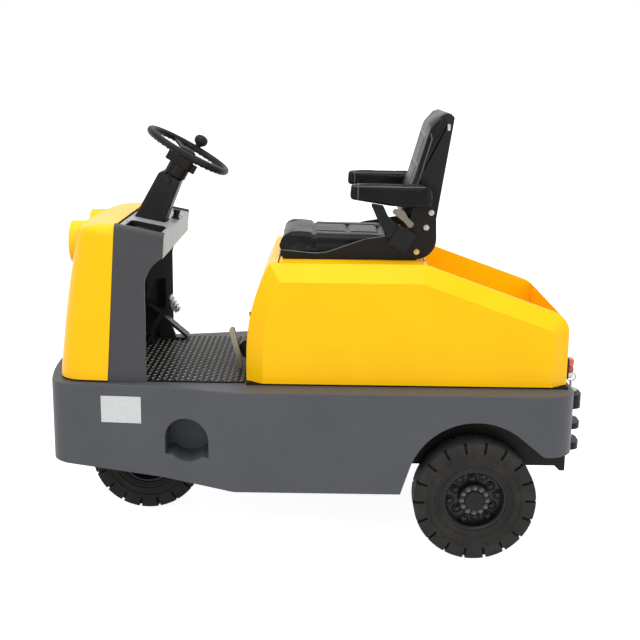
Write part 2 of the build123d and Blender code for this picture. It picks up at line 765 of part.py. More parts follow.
# Steering column frame: local z climbs the column from the wheel centre, local x points forward
rake = radians(COLUMN_RAKE)
column = Location(
    Plane((WHEEL_X, 0, WHEEL_Z), x_dir=(cos(rake), 0, sin(rake)), z_dir=(-sin(rake), 0, cos(rake)))
)
beam_top = CONSOLE_LIP_Z - BEAM_DROP
above_beam = block(-FAR, FAR, -FAR, FAR, beam_top, FAR)
column_len = (WHEEL_Z - beam_top) / cos(rake) + SHROUD_W


def shroud_box(grow):
    """Shroud block in the column frame, grown or shrunk on every side but its top."""
    flare = tan(radians(SHROUD_FLARE)) * (column_len - SHROUD_DROP)
    face = rounded(
        [
            (SHROUD_FRONT + grow, -SHROUD_DROP, SHROUD_TOP_R),
            (-SHROUD_BACK - grow, -SHROUD_DROP, 0),
            (-SHROUD_BACK - grow - flare, -column_len, 0),
            (SHROUD_FRONT + grow, -column_len, 0),
        ]
    )
    half = SHROUD_W / 2 + grow
    box = side_slab(face, -half, half)
    long_edges = box.edges().filter_by(lambda edge: edge.length > column_len / 2)
    return fillet(long_edges, SHROUD_R + grow)


bulk_x = SEAM_X - BULKHEAD_GAP
bulk_top_z = tray_front[1] - TRAY_SHEET - SEAL_IN
bulk_run = (bulk_top_z - DECK_Z) * SEAM_RUN
bulk_back_x = bulk_x - BULKHEAD_T
bulk_face = rounded(
    [
        (bulk_x, DECK_Z, 0),
        (bulk_x - bulk_run, bulk_top_z, 0),
        (bulk_back_x - bulk_run, bulk_top_z, 0),
        (bulk_back_x, DECK_Z, 0),
    ]
)
ahead_face = rounded(
    [
        (bulk_back_x - SEAL_IN - bulk_run, bulk_top_z, 0),
        (bulk_back_x - SEAL_IN, DECK_Z, 0),
        (FAR, DECK_Z, 0),
        (FAR, bulk_top_z, 0),
    ]
)
shroud_hole = column * shroud_box(MOVE_GAP)
save("console_tray", console_tray - shroud_hole)
shroud = column * (shroud_box(0) - shroud_box(-SHROUD_T))
tilt_slot = side_slab(Pos(0, -SHROUD_DROP) * SlotOverall(5 * CLAMP_R, CLAMP_R, rotation=90), -FAR, FAR)
shroud -= column * Pos(CLAMP_R, 0, 0) * tilt_slot
clamp_y = SHROUD_W / 2
clamp_z = -SHROUD_DROP - 1.5 * CLAMP_R
clamp = column * rod_y(CLAMP_R, CLAMP_R, clamp_z, clamp_y - SHROUD_T, clamp_y + CLAMP_R)
shroud = (shroud + clamp) & above_beam
save("column_shroud", shroud - side_slab(ahead_face, -FAR, FAR))

# Column tube with its head, the switch housing and a short switch stalk
switch_low = -SWITCH_DROP - SWITCH_T
tube_len = column_len + switch_low
head = Pos(0, 0, switch_low - HEAD_LEN / 2) * Cylinder(HEAD_R, HEAD_LEN)
head += Pos(0, 0, switch_low - tube_len / 2) * Cylinder(TUBE_R, tube_len)
switch = block(-SWITCH_BACK, SWITCH_FRONT, -SWITCH_W / 2, SWITCH_W / 2, switch_low, -SWITCH_DROP)
switch = fillet(switch.edges().filter_by(Axis.Z), SWITCH_W / 4)
stalk_top = -SWITCH_DROP - SWITCH_T / 3
stalk_half = STALK_W / 2
switch += block(-SWITCH_BACK - STALK_W, 0, -stalk_half, stalk_half, stalk_top - STALK_L, stalk_top)
tube = head + switch - Pos(0, 0, switch_low) * Cylinder(SHAFT_R + SHAFT_FIT, 2 * (SWITCH_T + HEAD_LEN))
save("column_tube", (column * tube) & above_beam)

# Ribbed bulkhead behind the hood, the beam that carries the column and the pedal sensor box
bulkhead = side_slab(bulk_face, -CONSOLE_IN, CONSOLE_IN)
rib_face = rounded(
    [
        (bulk_back_x + 1.0, FLOOR_Z + RIB_W, 0),
        (bulk_back_x + 1.0 - bulk_run, beam_top - RIB_W, 0),
        (bulk_back_x - RIB_D - bulk_run, beam_top - 2 * RIB_W, 0),
        (bulk_back_x - RIB_D, FLOOR_Z + RIB_W, 0),
    ]
)
for rib_y in (-CONSOLE_HALF / 3, 0, CONSOLE_HALF / 3):
    bulkhead += side_slab(rib_face, rib_y - RIB_W / 2, rib_y + RIB_W / 2)
beam_x = WHEEL_X + (WHEEL_Z - beam_top) * tan(rake)
beam_front = min(beam_x + BEAM_L / 2, bulk_back_x - bulk_run)
beam = block(beam_x - BEAM_L / 2, beam_front, -CONSOLE_IN, CONSOLE_IN, beam_top - BEAM_T, beam_top)
sensor_x = SEAM_X - 0.7 * CONSOLE_DEPTH
sensor_z = FLOOR_Z + 4.6 * RIB_W
sensor = block(
    sensor_x - RIB_W / 2,
    sensor_x + RIB_W / 2,
    -CONSOLE_IN,
    -CONSOLE_IN + RIB_W,
    sensor_z,
    sensor_z + 4 * RIB_W,
)
save("console_frame", bulkhead, beam, sensor)

# Steering wheel, its shaft and the spinner knob
wheel = Torus(WHEEL_RIM_R, WHEEL_GRIP_R)
wheel += Pos(0, 0, -HUB_T / 2) * Cylinder(HUB_R, HUB_T)
shaft_foot = switch_low - HEAD_LEN * 0.75
wheel += Pos(0, 0, shaft_foot / 2) * Cylinder(SHAFT_R, -shaft_foot)
spoke_run = WHEEL_RIM_R - HUB_R + WHEEL_GRIP_R
spoke_tilt = degrees(atan(HUB_T / 2 / spoke_run))
for turn in (180.0, 60.0, -60.0):
    spoke = Pos((WHEEL_RIM_R + HUB_R) / 2, 0, -HUB_T / 4) * Rot(0, -spoke_tilt, 0)
    wheel += Rot(0, 0, turn) * spoke * Box(spoke_run, SPOKE_W, SPOKE_T)
knob_place = Rot(0, 0, KNOB_DEG) * Pos(WHEEL_RIM_R, 0, 0)
neck_top = WHEEL_GRIP_R + KNOB_NECK_R / 3
wheel += knob_place * Pos(0, 0, neck_top / 2) * Cylinder(KNOB_NECK_R, neck_top)
save("steering_wheel", column * wheel)
knob_rings = (  # share of the knob's radius, share of its height
    (0.5, 0.0),
    (0.86, 0.2),
    (1.0, 0.45),
    (0.94, 0.7),
    (0.7, 0.9),
    (0.3, 1.0),
)
knob_outline = [(0, 0)] + [(KNOB_R * r, KNOB_H * h) for r, h in knob_rings] + [(0, KNOB_H)]
knob = Rot(90, 0, 0) * spun(knob_outline)
save("spinner_knob", column * knob_place * Pos(0, 0, neck_top + SEAT_FIT) * knob)

# Pedals on the right of the footwell, drawn from the brake arm's foot
toe_board = Pos(SEAM_X - 60.0, 0, FLOOR_Z)
BRAKE_Y = -235.0
BRAKE_PAD = (14.0, 60.0, 74.0)
BRAKE_TILT = 32.6
BRAKE_ARM_T = 12.0
ACCEL_Y = -326.0
ACCEL_PLATE = (236.0, 66.0, 12.0)
ACCEL_TILT = 40.6
arm_edges = ThreePointArc((-2, 0), (-34, 112), (-109, 178)) + Line((-109, 178), (-122, 156))
arm_edges += ThreePointArc((-122, 156), (-52, 95), (-21, 0)) + Line((-21, 0), (-2, 0))
brake = side_slab(make_face(arm_edges), BRAKE_Y - BRAKE_ARM_T / 2, BRAKE_Y + BRAKE_ARM_T / 2)
pad = Box(*BRAKE_PAD)
for share in (-0.36, -0.18, 0, 0.18, 0.36):
    pad -= Pos(-BRAKE_PAD[0] / 2, 0, share * BRAKE_PAD[2]) * Box(6.0, BRAKE_PAD[1], 5.0)
brake += Pos(-109, BRAKE_Y, 174) * Rot(0, BRAKE_TILT, 0) * pad
brake += block(-28, 4, BRAKE_Y - 22, BRAKE_Y + 22, 0, 10)
accel = Pos(-72, ACCEL_Y, 88) * Rot(0, -ACCEL_TILT, 0) * Box(*ACCEL_PLATE)
accel = accel & block(-FAR, FAR, -FAR, FAR, 0, FAR)
prop_face = rounded([(-112, 0, 0), (-36, 0, 0), (-36, 112, 0), (-84, 74, 0)])
accel += side_slab(prop_face, ACCEL_Y - BRAKE_ARM_T, ACCEL_Y + BRAKE_ARM_T)
accel += block(-158, -8, ACCEL_Y - 25, ACCEL_Y + 25, 0, 8)
save("pedals", toe_board * brake, toe_board * accel)

# Parking brake lever in front of the rear body, drawn from the body's foot
body_foot = Pos(BODY_FRONT_X, 0, FLOOR_Z)
LEVER_Y = 164.0
LEVER_W = 28.0
lever_face = rounded(
    [
        (30, 0, 0),
        (48, 0, 0),
        (56, 52, 60),
        (83, 158, 10),
        (65, 177, 10),
        (36, 62, 60),
    ]
)
save("parking_lever", body_foot * side_slab(lever_face, LEVER_Y - LEVER_W / 2, LEVER_Y + LEVER_W / 2))

# Lever quadrant and two rubber latches on the front of the body
quadrant_face = rounded([(0, 30, 0), (30, 38, 8), (48, 84, 10), (26, 106, 10), (0, 106, 0)])
quadrant = body_foot * side_slab(quadrant_face, LEVER_Y - 3 * LEVER_W, LEVER_Y - LEVER_W)
LATCH_R = 10.0
LATCH_REACH = 15.0
round_latch = body_foot * rod_x(LATCH_R, 0, 186, -2 * LATCH_REACH, LATCH_REACH - 2)
long_latch = body_foot * block(-2 * LATCH_REACH, LATCH_REACH, -LATCH_R, LATCH_R, 120, 154)
seated = [Pos(SEAT_FIT, 0, 0) * (latch - body_solid(0)) for latch in (round_latch, long_latch)]
save("front_fittings", quadrant, *seated)


# Wheels about Y, outer side at positive Y
def tyre_solid():
    half = TYRE_W / 2
    bore_r = RIM_D / 2 + SEAT_FIT
    solid = spun([(bore_r, half), (WHEEL_R, half), (WHEEL_R, -half), (bore_r, -half)])
    run = LUG_REACH / LUG_DROP
    slot_face = make_face(
        Polyline(
            (WHEEL_R - LUG_DROP - LUG_SLOT, half + LUG_SLOT * run),
            (WHEEL_R + LUG_SLOT, half - LUG_REACH - LUG_SLOT * run),
            (WHEEL_R + 2 * LUG_SLOT, half + 2 * LUG_SLOT),
            close=True,
        )
    )
    slot = extrude(slot_face, LUG_SLOT / 2, both=True)
    slots = []
    for number in range(LUG_COUNT):
        turn = number * 360.0 / LUG_COUNT
        slots.append(Rot(0, turn, 0) * slot)
        slots.append(Rot(0, turn + 180.0 / LUG_COUNT, 0) * mirror(slot, Plane.XZ))
    return solid - slots


def rim_solid(bore_r):
    flange_r = RIM_D / 2
    well_r = flange_r - RIM_WALL
    edge = RIM_W / 2
    half_rim = [
        (flange_r, edge),
        (flange_r - 0.6 * RIM_WALL, edge),
        (well_r, edge - 0.5 * RIM_WALL),
    ]
    back = [(r, -y) for r, y in half_rim] + [(well_r - 2.0, -DISC_BACK), (bore_r, -DISC_BACK)]
    front = [(bore_r, DISC_FACE), (well_r - 2.0, DISC_FACE)] + list(reversed(half_rim))
    return spun(front + back)


tyre = tyre_solid()
hub_bore_r = STUB_R + SHAFT_FIT
hub_inner_y = -TYRE_W / 2 + 2.0
disc_back_y = -DISC_BACK - SEAT_FIT
rear_hub = spun(
    [
        (0, 20.0),
        (hub_bore_r, 20.0),
        (hub_bore_r, hub_inner_y),
        (DRUM_R, hub_inner_y),
        (DRUM_R, disc_back_y),
        (HUB_OUTER_R, disc_back_y),
        (HUB_OUTER_R, HUB_REACH - 4.0),
        (HUB_OUTER_R - 4.0, HUB_REACH),
        (CAP_R, HUB_REACH),
        (CAP_R - 2.0, HUB_REACH + 7.0),
        (0, HUB_REACH + 8.0),
    ]
)
rear_rim = rim_solid(HUB_OUTER_R + SEAT_FIT)
for side_name, sign, turn in (("left", 1, 0), ("right", -1, 180)):
    place = Pos(0, sign * TRACK_Y, WHEEL_R) * Rot(0, 0, turn)
    save(f"rear_tyre_{side_name}", place * tyre)
    save(f"rear_rim_{side_name}", place * rear_rim)
    save(f"rear_hub_{side_name}", place * rear_hub)

front_place = Pos(WHEELBASE, 0, WHEEL_R)
front_hub_half = TYRE_W / 2 + 2.0
front_hub_r = AXLE_PIN_R + 16.0
front_rim = rim_solid(front_hub_r - 2.0) + spun(
    [
        (AXLE_PIN_R + SHAFT_FIT, -front_hub_half),
        (front_hub_r, -front_hub_half),
        (front_hub_r, front_hub_half),
        (AXLE_PIN_R + SHAFT_FIT, front_hub_half),
    ]
)
save("front_tyre", front_place * tyre)
save("front_rim", front_place * front_rim)

# Fork with a crown, two legs and a pivot boss
leg_in = front_hub_half + MOVE_GAP
leg_out = leg_in + FORK_PLATE
crown_half = FORK_CROWN_L / 2
eye_z = WHEEL_R - FORK_EYE_R
leg_face = rounded(
    [
        (-crown_half, FORK_TOP_Z, 0),
        (-FORK_EYE_R, eye_z, 30.0),
        (FORK_EYE_R, eye_z, 30.0),
        (crown_half, FORK_TOP_Z, 0),
    ]
)
leg = side_slab(leg_face, leg_in, leg_out)
leg -= rod_y(AXLE_PIN_R + SEAT_FIT, 0, WHEEL_R, 0, FAR)
fork = block(-crown_half, crown_half, -leg_out, leg_out, FORK_CROWN_Z, FORK_TOP_Z) + pair(leg)
fork += rod_z(PIVOT_R - SEAT_FIT, 0, 0, FORK_TOP_Z, BED_Z - MOVE_GAP)
save("steering_fork", Pos(WHEELBASE, 0, 0) * fork)
axle_pin = rod_y(AXLE_PIN_R, 0, WHEEL_R, -leg_out, leg_out)
axle_pin += pair(rod_y(AXLE_PIN_R + 12.0, 0, WHEEL_R, leg_out, leg_out + 12.0))
save("front_axle", Pos(WHEELBASE, 0, 0) * axle_pin)
ring = rod_z(RING_R, WHEELBASE, 0, FORK_TOP_Z + MOVE_GAP, BED_Z)
save("slewing_ring", ring - rod_z(PIVOT_R, WHEELBASE, 0, 0, FAR))

# Rear axle with its gear case, and the drive motor above it
drum_face_y = TRACK_Y + hub_inner_y
backing_y = drum_face_y - MOVE_GAP
axle_half = rod_y(AXLE_TUBE_R, 0, WHEEL_R, 0, backing_y)
axle_half += rod_y(DRUM_R + 4.0, 0, WHEEL_R, backing_y - 6.0, backing_y)
axle_half += rod_y(STUB_R, 0, WHEEL_R, backing_y, TRACK_Y + 10.0)
axle_half += block(-55.0, 55.0, RAIL_Y - RAIL_FLANGE, RAIL_Y - RAIL_GAP, WHEEL_R, RAIL_Z)
gearcase_z = WHEEL_R + GEARCASE_LIFT
gearcase = rod_y(GEARCASE_R, 0, gearcase_z, -GEARCASE_W / 2, GEARCASE_W / 2)
gearcase = chamfer(gearcase.edges().filter_by(GeomType.CIRCLE), GEARCASE_W / 8)
save("rear_axle", gearcase + pair(axle_half))
motor_front_x = MOTOR_L / 2 - 60.0
motor = rod_x(MOTOR_R, 0, WHEEL_R + MOTOR_LIFT, motor_front_x - MOTOR_L, motor_front_x)
motor -= rod_y(GEARCASE_R + SEAT_FIT, 0, gearcase_z, -GEARCASE_W, GEARCASE_W)
save("drive_motor", motor)

# Tow coupling with stacked plates and a drop pin
plate_low = HITCH_PLATES[0][0]
plate_high = HITCH_PLATES[-1][0] + HITCH_PLATES[-1][1]
hitch_half = HITCH_W / 2
hitch = block(TAIL_X - HITCH_BACK_T, TAIL_X, -hitch_half, hitch_half, plate_low, plate_high)
for low, thick in HITCH_PLATES:
    plate = block(HITCH_X, TAIL_X, -hitch_half, hitch_half, low, low + thick)
    hitch += fillet(plate.edges().filter_by(Axis.Z).sort_by(Axis.X)[:2], HITCH_NOSE_R)
pin_x = HITCH_X + HITCH_REACH / 3
hitch -= rod_z(HITCH_PIN_R + SEAT_FIT, pin_x, 0, 0, FAR)
save("tow_coupling", hitch)
collar_top = plate_high + 12.0
tow_pin = rod_z(HITCH_PIN_R, pin_x, 0, plate_low - 12.0, plate_high)
tow_pin += rod_z(HITCH_PIN_R + 10.0, pin_x, 0, plate_high, collar_top)
tow_pin += rod_z(6.0, pin_x, 0, collar_top, HITCH_PIN_TOP)
save("tow_pin", tow_pin)

# Seat frame: side plates on a pan, with pins for the armrests
seat = Pos(SEAT_X, 0, BODY_TOP_Z)
plate_in = SEAT_HALF - SEAT_PLATE
plate_face = rounded(
    [
        (547, 6, 14),
        (552, 35, 8),
        (390, 20, 50),
        (223, 81, 40),
        (160, 90, 25),
        (64, 110, 30),
        (30, ARM_RISE + 14, 20),
        (-43, ARM_RISE + 14, 20),
        (-53, 6, 78),
    ]
)
frame = block(25, 540, -plate_in, plate_in, 0, PAN_T)
frame += pair(side_slab(plate_face, plate_in, SEAT_HALF))
frame += pair(rod_y(ARM_PIN_R, 0, ARM_RISE, plate_in, SEAT_HALF + MOVE_GAP + 0.7 * ARM_W))
save("seat_frame", seat * frame)

# Cushion with a front roll, backrest and the tapered shell behind it
cushion_face = rounded(
    [
        (113, 0, 10),
        (541, 0, 22),
        (567, 44, 26),
        (552, 90, 34),
        (470, 88, 60),
        (400, 81, 60),
        (118, 76, 20),
    ]
)
cushion = side_slab(cushion_face, -CUSHION_HALF, CUSHION_HALF)
cushion = fillet(side_edges(cushion, CUSHION_HALF), SOFT_R)
save("seat_cushion", Pos(SEAT_X, 0, PAD_Z) * cushion)
shell_face = rounded(
    [
        (-45, 128, 6),
        (14, 128, 6),
        (14, 320, 30),
        (-78, 505, 20),
        (-78, 562, 6),
        (-107, 548, 12),
    ]
)
shell = side_slab(shell_face, -SHELL_HALF, SHELL_HALF)
shell_in = SHELL_HALF - SHELL_T
shell -= Pos(SHELL_T + 2.0, 0, 0) * side_slab(offset(shell_face, -SHELL_T), -shell_in, shell_in)
for boss_x, boss_z in ((-28, 186), (-12, 140)):
    shell += pair(rod_y(SEAT_BOSS_R, boss_x, boss_z, SHELL_HALF - SHELL_T, plate_in))
save("seat_back_shell", seat * shell)
back_face = rounded(
    [
        (-30, 138, 0),
        (107, 138, 20),
        (36, 306, 60),
        (-36, 556, 30),
        (-80, 553, 0),
        (-88, 505, 0),
    ]
)
backrest = side_slab(back_face - offset(shell_face, SEAT_FIT), -BACK_HALF, BACK_HALF)
front_edges = side_edges(backrest, BACK_HALF).filter_by(lambda edge: edge.distance_to(shell) > SHELL_T)
save("seat_backrest", seat * fillet(front_edges, SOFT_R))

# Seat belt reel with its webbing guide, and the buckle, on the left plate
reel = Pos(83, SEAT_HALF + REEL_W / 2, 88) * Rot(0, -31, 0) * Box(76, REEL_W, 82)
reel = fillet(reel.edges().filter_by(Axis.Y), 6)
guide_face = rounded(
    [
        (126, 80, 0),
        (182, 166, 40),
        (207, 222, 6),
        (158, 214, 6),
        (137, 170, 40),
        (90, 130, 0),
    ]
)
reel += side_slab(guide_face, SEAT_HALF + 4, SEAT_HALF + REEL_W - 8)
save("belt_reel", seat * reel)
buckle_face = rounded([(124, 187, 6), (115, 201, 6), (78, 194, 6), (64, 171, 4), (82, 156, 4)])
buckle = side_slab(buckle_face, SEAT_HALF, SEAT_HALF + 18)
strap_face = rounded([(78, 182, 0), (36, 142, 8), (54, 124, 8), (90, 166, 0)])
buckle += side_slab(strap_face, SEAT_HALF, SEAT_HALF + 5)
save("belt_buckle", seat * buckle)

# Armrests on their pins
arm_in = SEAT_HALF + MOVE_GAP
arm_back = -26
arm_face = rounded(
    [
        (arm_back, -45, 20),
        (arm_back + 110, -45, 40),
        (arm_back + ARM_L, -12, 14),
        (arm_back + ARM_L, 46, 14),
        (arm_back, 40, 24),
    ]
)
arm = Pos(0, -arm_in - ARM_W / 2, 0) * side_slab(arm_face, arm_in, arm_in + ARM_W)
arm = Pos(0, arm_in + ARM_W / 2, 0) * fillet(side_edges(arm, ARM_W / 2), 8)
arm -= rod_y(ARM_PIN_R + SHAFT_FIT, 0, 0, 0, arm_in + 0.7 * ARM_W + 1)
save("armrest_left", Pos(SEAT_X, 0, ARM_PIVOT_Z) * arm)
save("armrest_right", Pos(SEAT_X, 0, ARM_PIVOT_Z) * mirror(arm, Plane.XZ))
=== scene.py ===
"""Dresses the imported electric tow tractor: finishes, upholstery, small hardware and the studio."""

from __future__ import annotations

import logging
import math
from dataclasses import dataclass
from enum import Enum
from typing import Any, Sequence

import bmesh
import bpy
from mathutils import Matrix, Vector
from mathutils.bvhtree import BVHTree


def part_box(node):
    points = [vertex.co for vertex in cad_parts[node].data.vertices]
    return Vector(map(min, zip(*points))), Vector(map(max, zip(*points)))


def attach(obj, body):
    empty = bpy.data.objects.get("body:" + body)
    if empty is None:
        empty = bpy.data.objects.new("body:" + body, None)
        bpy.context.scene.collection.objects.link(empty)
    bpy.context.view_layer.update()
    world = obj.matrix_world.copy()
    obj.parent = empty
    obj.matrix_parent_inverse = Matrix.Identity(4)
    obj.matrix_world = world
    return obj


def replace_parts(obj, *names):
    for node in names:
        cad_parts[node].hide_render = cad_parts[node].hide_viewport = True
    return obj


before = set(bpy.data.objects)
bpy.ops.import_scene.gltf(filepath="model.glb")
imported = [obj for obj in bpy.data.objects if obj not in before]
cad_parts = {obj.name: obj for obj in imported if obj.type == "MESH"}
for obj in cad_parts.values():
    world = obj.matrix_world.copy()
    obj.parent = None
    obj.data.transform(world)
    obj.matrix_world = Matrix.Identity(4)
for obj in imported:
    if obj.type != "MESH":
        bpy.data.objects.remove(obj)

logging.basicConfig(level=logging.INFO, format="%(name)s: %(message)s")
LOG = logging.getLogger("tow_tractor")

Colour = tuple[float, float, float]
Point = tuple[float, float, float]
Place = tuple[float, float]
Outline = Sequence[Place]


class Side(Enum):
    """The driver's left and right hand."""

    LEFT = 1
    RIGHT = -1


class Facing(Enum):
    """The way a shape's own Z points once it is placed."""

    AHEAD = Matrix.Rotation(math.radians(90), 4, "Y")
    LEFT = Matrix.Rotation(math.radians(-90), 4, "X")
    RIGHT = Matrix.Rotation(math.radians(90), 4, "X")

    def at(self, place: Vector) -> Matrix:
        """The placing of a shape that faces this way at a place."""
        return Matrix.Translation(place) @ self.value


REAR_AXLE_X = -0.590


def spot(x: float, y: float, z: float) -> Vector:
    """Turns millimetres from the ground below the rear axle into the row frame.

    Args:
        x: Ahead of the rear axle.
        y: Left of the centre line.
        z: Above the ground.

    Returns:
        The place in metres.
    """
    return Vector((x / 1000 + REAR_AXLE_X, y / 1000, z / 1000))


def srgb(red: int, green: int, blue: int) -> Colour:
    """Turns a display colour of 0 to 255 into scene-linear values.

    Args:
        red: Red of the display colour.
        green: Green of the display colour.
        blue: Blue of the display colour.

    Returns:
        The scene-linear colour.
    """

    def linear(value: int) -> float:
        """One channel, scene-linear."""
        share = value / 255
        return share / 12.92 if share <= 0.04045 else ((share + 0.055) / 1.055) ** 2.4

    return linear(red), linear(green), linear(blue)


class Wire:
    """A shader socket that takes part in Python arithmetic."""

    def __init__(self, shader: Shader, socket: bpy.types.NodeSocket) -> None:
        """Holds a socket.

        Args:
            shader: The material being written.
            socket: An output socket of one of its nodes.
        """
        self.shader = shader
        self.socket = socket

    def _math(self, operation: str, first: Any, second: Any) -> Wire:
        """Adds a Math node.

        Args:
            operation: The Math node's operation.
            first: First wire or number.
            second: Second wire or number.

        Returns:
            The node's result.
        """
        return self.shader.node("ShaderNodeMath", {"operation": operation}, {0: first, 1: second})

    def __add__(self, other: Any) -> Wire:
        """Sum."""
        return self._math("ADD", self, other)

    def __radd__(self, other: Any) -> Wire:
        """Sum with the wire on the right."""
        return self._math("ADD", other, self)

    def __sub__(self, other: Any) -> Wire:
        """Difference."""
        return self._math("SUBTRACT", self, other)

    def __rsub__(self, other: Any) -> Wire:
        """Difference with the wire on the right."""
        return self._math("SUBTRACT", other, self)

    def __mul__(self, other: Any) -> Wire:
        """Product."""
        return self._math("MULTIPLY", self, other)

    def __rmul__(self, other: Any) -> Wire:
        """Product with the wire on the right."""
        return self._math("MULTIPLY", other, self)

    def most(self, other: Any) -> Wire:
        """The greater of two."""
        return self._math("MAXIMUM", self, other)

    def step(self, low: float, high: float) -> Wire:
        """Smooth rise from 0 at low to 1 at high.

        Args:
            low: Value that gives 0.
            high: Value that gives 1.

        Returns:
            The smoothed share.
        """
        settings = {"interpolation_type": "SMOOTHSTEP"}
        return self.shader.node("ShaderNodeMapRange", settings, {0: self, 1: low, 2: high})


class Shader:
    """Writes one node material."""

    def __init__(self, name: str) -> None:
        """Starts a material with one Principled shader.

        Args:
            name: The material's name.
        """
        self.material = bpy.data.materials.new(name)
        self.material.use_nodes = True
        self.tree = self.material.node_tree
        self.surface = next(n for n in self.tree.nodes if n.type == "BSDF_PRINCIPLED")

    def node(self, kind: str, settings: dict[str, Any], inputs: dict[Any, Any], out: Any = 0) -> Wire:
        """Adds a node.

        Args:
            kind: The node's type name.
            settings: Properties, set before the sockets.
            inputs: Socket index or name to a wire or a value.
            out: Index or name of the output to return.

        Returns:
            The chosen output.
        """
        made = self.tree.nodes.new(kind)
        for key, value in settings.items():
            setattr(made, key, value)
        for key, value in inputs.items():
            if isinstance(value, Wire):
                self.tree.links.new(value.socket, made.inputs[key])
            else:
                made.inputs[key].default_value = value
        return Wire(self, made.outputs[out])

    def place(self) -> Wire:
        """Object coordinates in metres."""
        return self.node("ShaderNodeTexCoord", {}, {}, "Object")

    def axis(self, name: str) -> Wire:
        """One object coordinate, by its letter."""
        return self.node("ShaderNodeSeparateXYZ", {}, {0: self.place()}, name)

    def noise(
        self, scale: float, detail: float = 3.0, rough: float = 0.55, stretch: Point = (1, 1, 1)
    ) -> Wire:
        """Fractal noise.

        Args:
            scale: Features per metre.
            detail: Octaves.
            rough: Strength of the finer octaves.
            stretch: Scale along each axis.

        Returns:
            Noise from 0 to 1.
        """
        mapped = self.node("ShaderNodeMapping", {}, {"Vector": self.place(), "Scale": stretch})
        inputs = {"Vector": mapped, "Scale": scale, "Detail": detail, "Roughness": rough}
        return self.node("ShaderNodeTexNoise", {}, inputs, "Fac")

    def cells(self, scale: float) -> Wire:
        """Distance to the nearest of scattered points.

        Args:
            scale: Points per metre.

        Returns:
            The distance.
        """
        inputs = {"Vector": self.place(), "Scale": scale}
        return self.node("ShaderNodeTexVoronoi", {"feature": "F1"}, inputs, "Distance")

    def mix(self, share: Any, first: Any, second: Any) -> Wire:
        """Blends two colours.

        Args:
            share: Wire from 0 to 1.
            first: Colour or wire at 0.
            second: Colour or wire at 1.

        Returns:
            The blended colour.
        """
        ends = [(*c, 1) if isinstance(c, tuple) else c for c in (first, second)]
        inputs = {0: share, 6: ends[0], 7: ends[1]}
        return self.node("ShaderNodeMix", {"data_type": "RGBA"}, inputs, 2)

    def fix(self, **values: Any) -> None:
        """Sets constants on the surface, with spaces in socket names written as underscores."""
        for key, value in values.items():
            value = (*value, 1) if isinstance(value, tuple) and len(value) == 3 else value
            self.surface.inputs[key.replace("_", " ")].default_value = value

    def feed(self, socket: str, wire: Wire) -> None:
        """Links a wire into a surface socket."""
        self.tree.links.new(wire.socket, self.surface.inputs[socket])

    def bump(self, height: Wire, strength: float, distance: float) -> None:
        """Raises the surface by a height wire.

        Args:
            height: Height from 0 to 1.
            strength: Share of the effect.
            distance: Real height in metres.
        """
        inputs = {"Strength": strength, "Distance": distance, "Height": height}
        self.feed("Normal", self.node("ShaderNodeBump", {}, inputs))


@dataclass(frozen=True)
class Paint:
    """Sprayed paint with orange peel and faint clouding."""

    name: str
    colour: Colour
    roughness: float = 0.3
    coat: float = 0.0
    peel: float = 0.25
    peel_scale: float = 420.0
    cloud: float = 0.06
    metallic: float = 0.0
    gloss: float = 0.2

    def build(self) -> bpy.types.Material:
        """Returns the finished material."""
        shader = Shader(self.name)
        shader.fix(Metallic=self.metallic, Coat_Weight=self.coat, Coat_Roughness=0.08)
        shader.fix(Specular_IOR_Level=self.gloss)
        dark = tuple(c * (1 - 2 * self.cloud) for c in self.colour)
        shader.feed("Base Color", shader.mix(shader.noise(5.0, 4.0).step(0.3, 0.75), dark, self.colour))
        rough = shader.noise(30.0, 5.0)
        shader.feed("Roughness", self.roughness + 0.12 * (rough - 0.5))
        shader.bump(shader.noise(self.peel_scale, 2.0), self.peel, 0.0004)
        return shader.material


@dataclass(frozen=True)
class Rubber:
    """Rubber with dusty patches and a fine pitted skin."""

    name: str
    colour: Colour
    dust: Colour
    roughness: float = 0.72
    dust_share: float = 0.35

    def build(self) -> bpy.types.Material:
        """Returns the finished material."""
        shader = Shader(self.name)
        shader.fix(Specular_IOR_Level=0.2)
        patches = shader.noise(14.0, 6.0, 0.65).step(0.42, 0.8) * self.dust_share
        shader.feed("Base Color", shader.mix(patches, self.colour, self.dust))
        shader.feed("Roughness", self.roughness + 0.2 * (shader.noise(60.0, 4.0) - 0.5))
        shader.bump(shader.noise(700.0, 3.0) + 0.6 * shader.noise(90.0, 3.0), 0.35, 0.0006)
        return shader.material


@dataclass(frozen=True)
class Grained:
    """Moulded plastic or vinyl with a pebbled grain."""

    name: str
    colour: Colour
    grain: float = 520.0
    depth: float = 0.0004
    strength: float = 0.5
    roughness: float = 0.5
    gloss: float = 0.18

    def build(self) -> bpy.types.Material:
        """Returns the finished material."""
        shader = Shader(self.name)
        shader.fix(Specular_IOR_Level=self.gloss)
        pebbles = shader.cells(self.grain).step(0.05, 0.6)
        worn = shader.noise(7.0, 4.0).step(0.35, 0.8)
        pale = tuple(min(1.0, c * 1.5 + 0.006) for c in self.colour)
        shader.feed("Base Color", shader.mix(worn, self.colour, pale))
        shader.feed("Roughness", self.roughness + 0.1 * (pebbles - 0.5) + 0.08 * (worn - 0.5))
        shader.bump(1 - pebbles, self.strength, self.depth)
        return shader.material


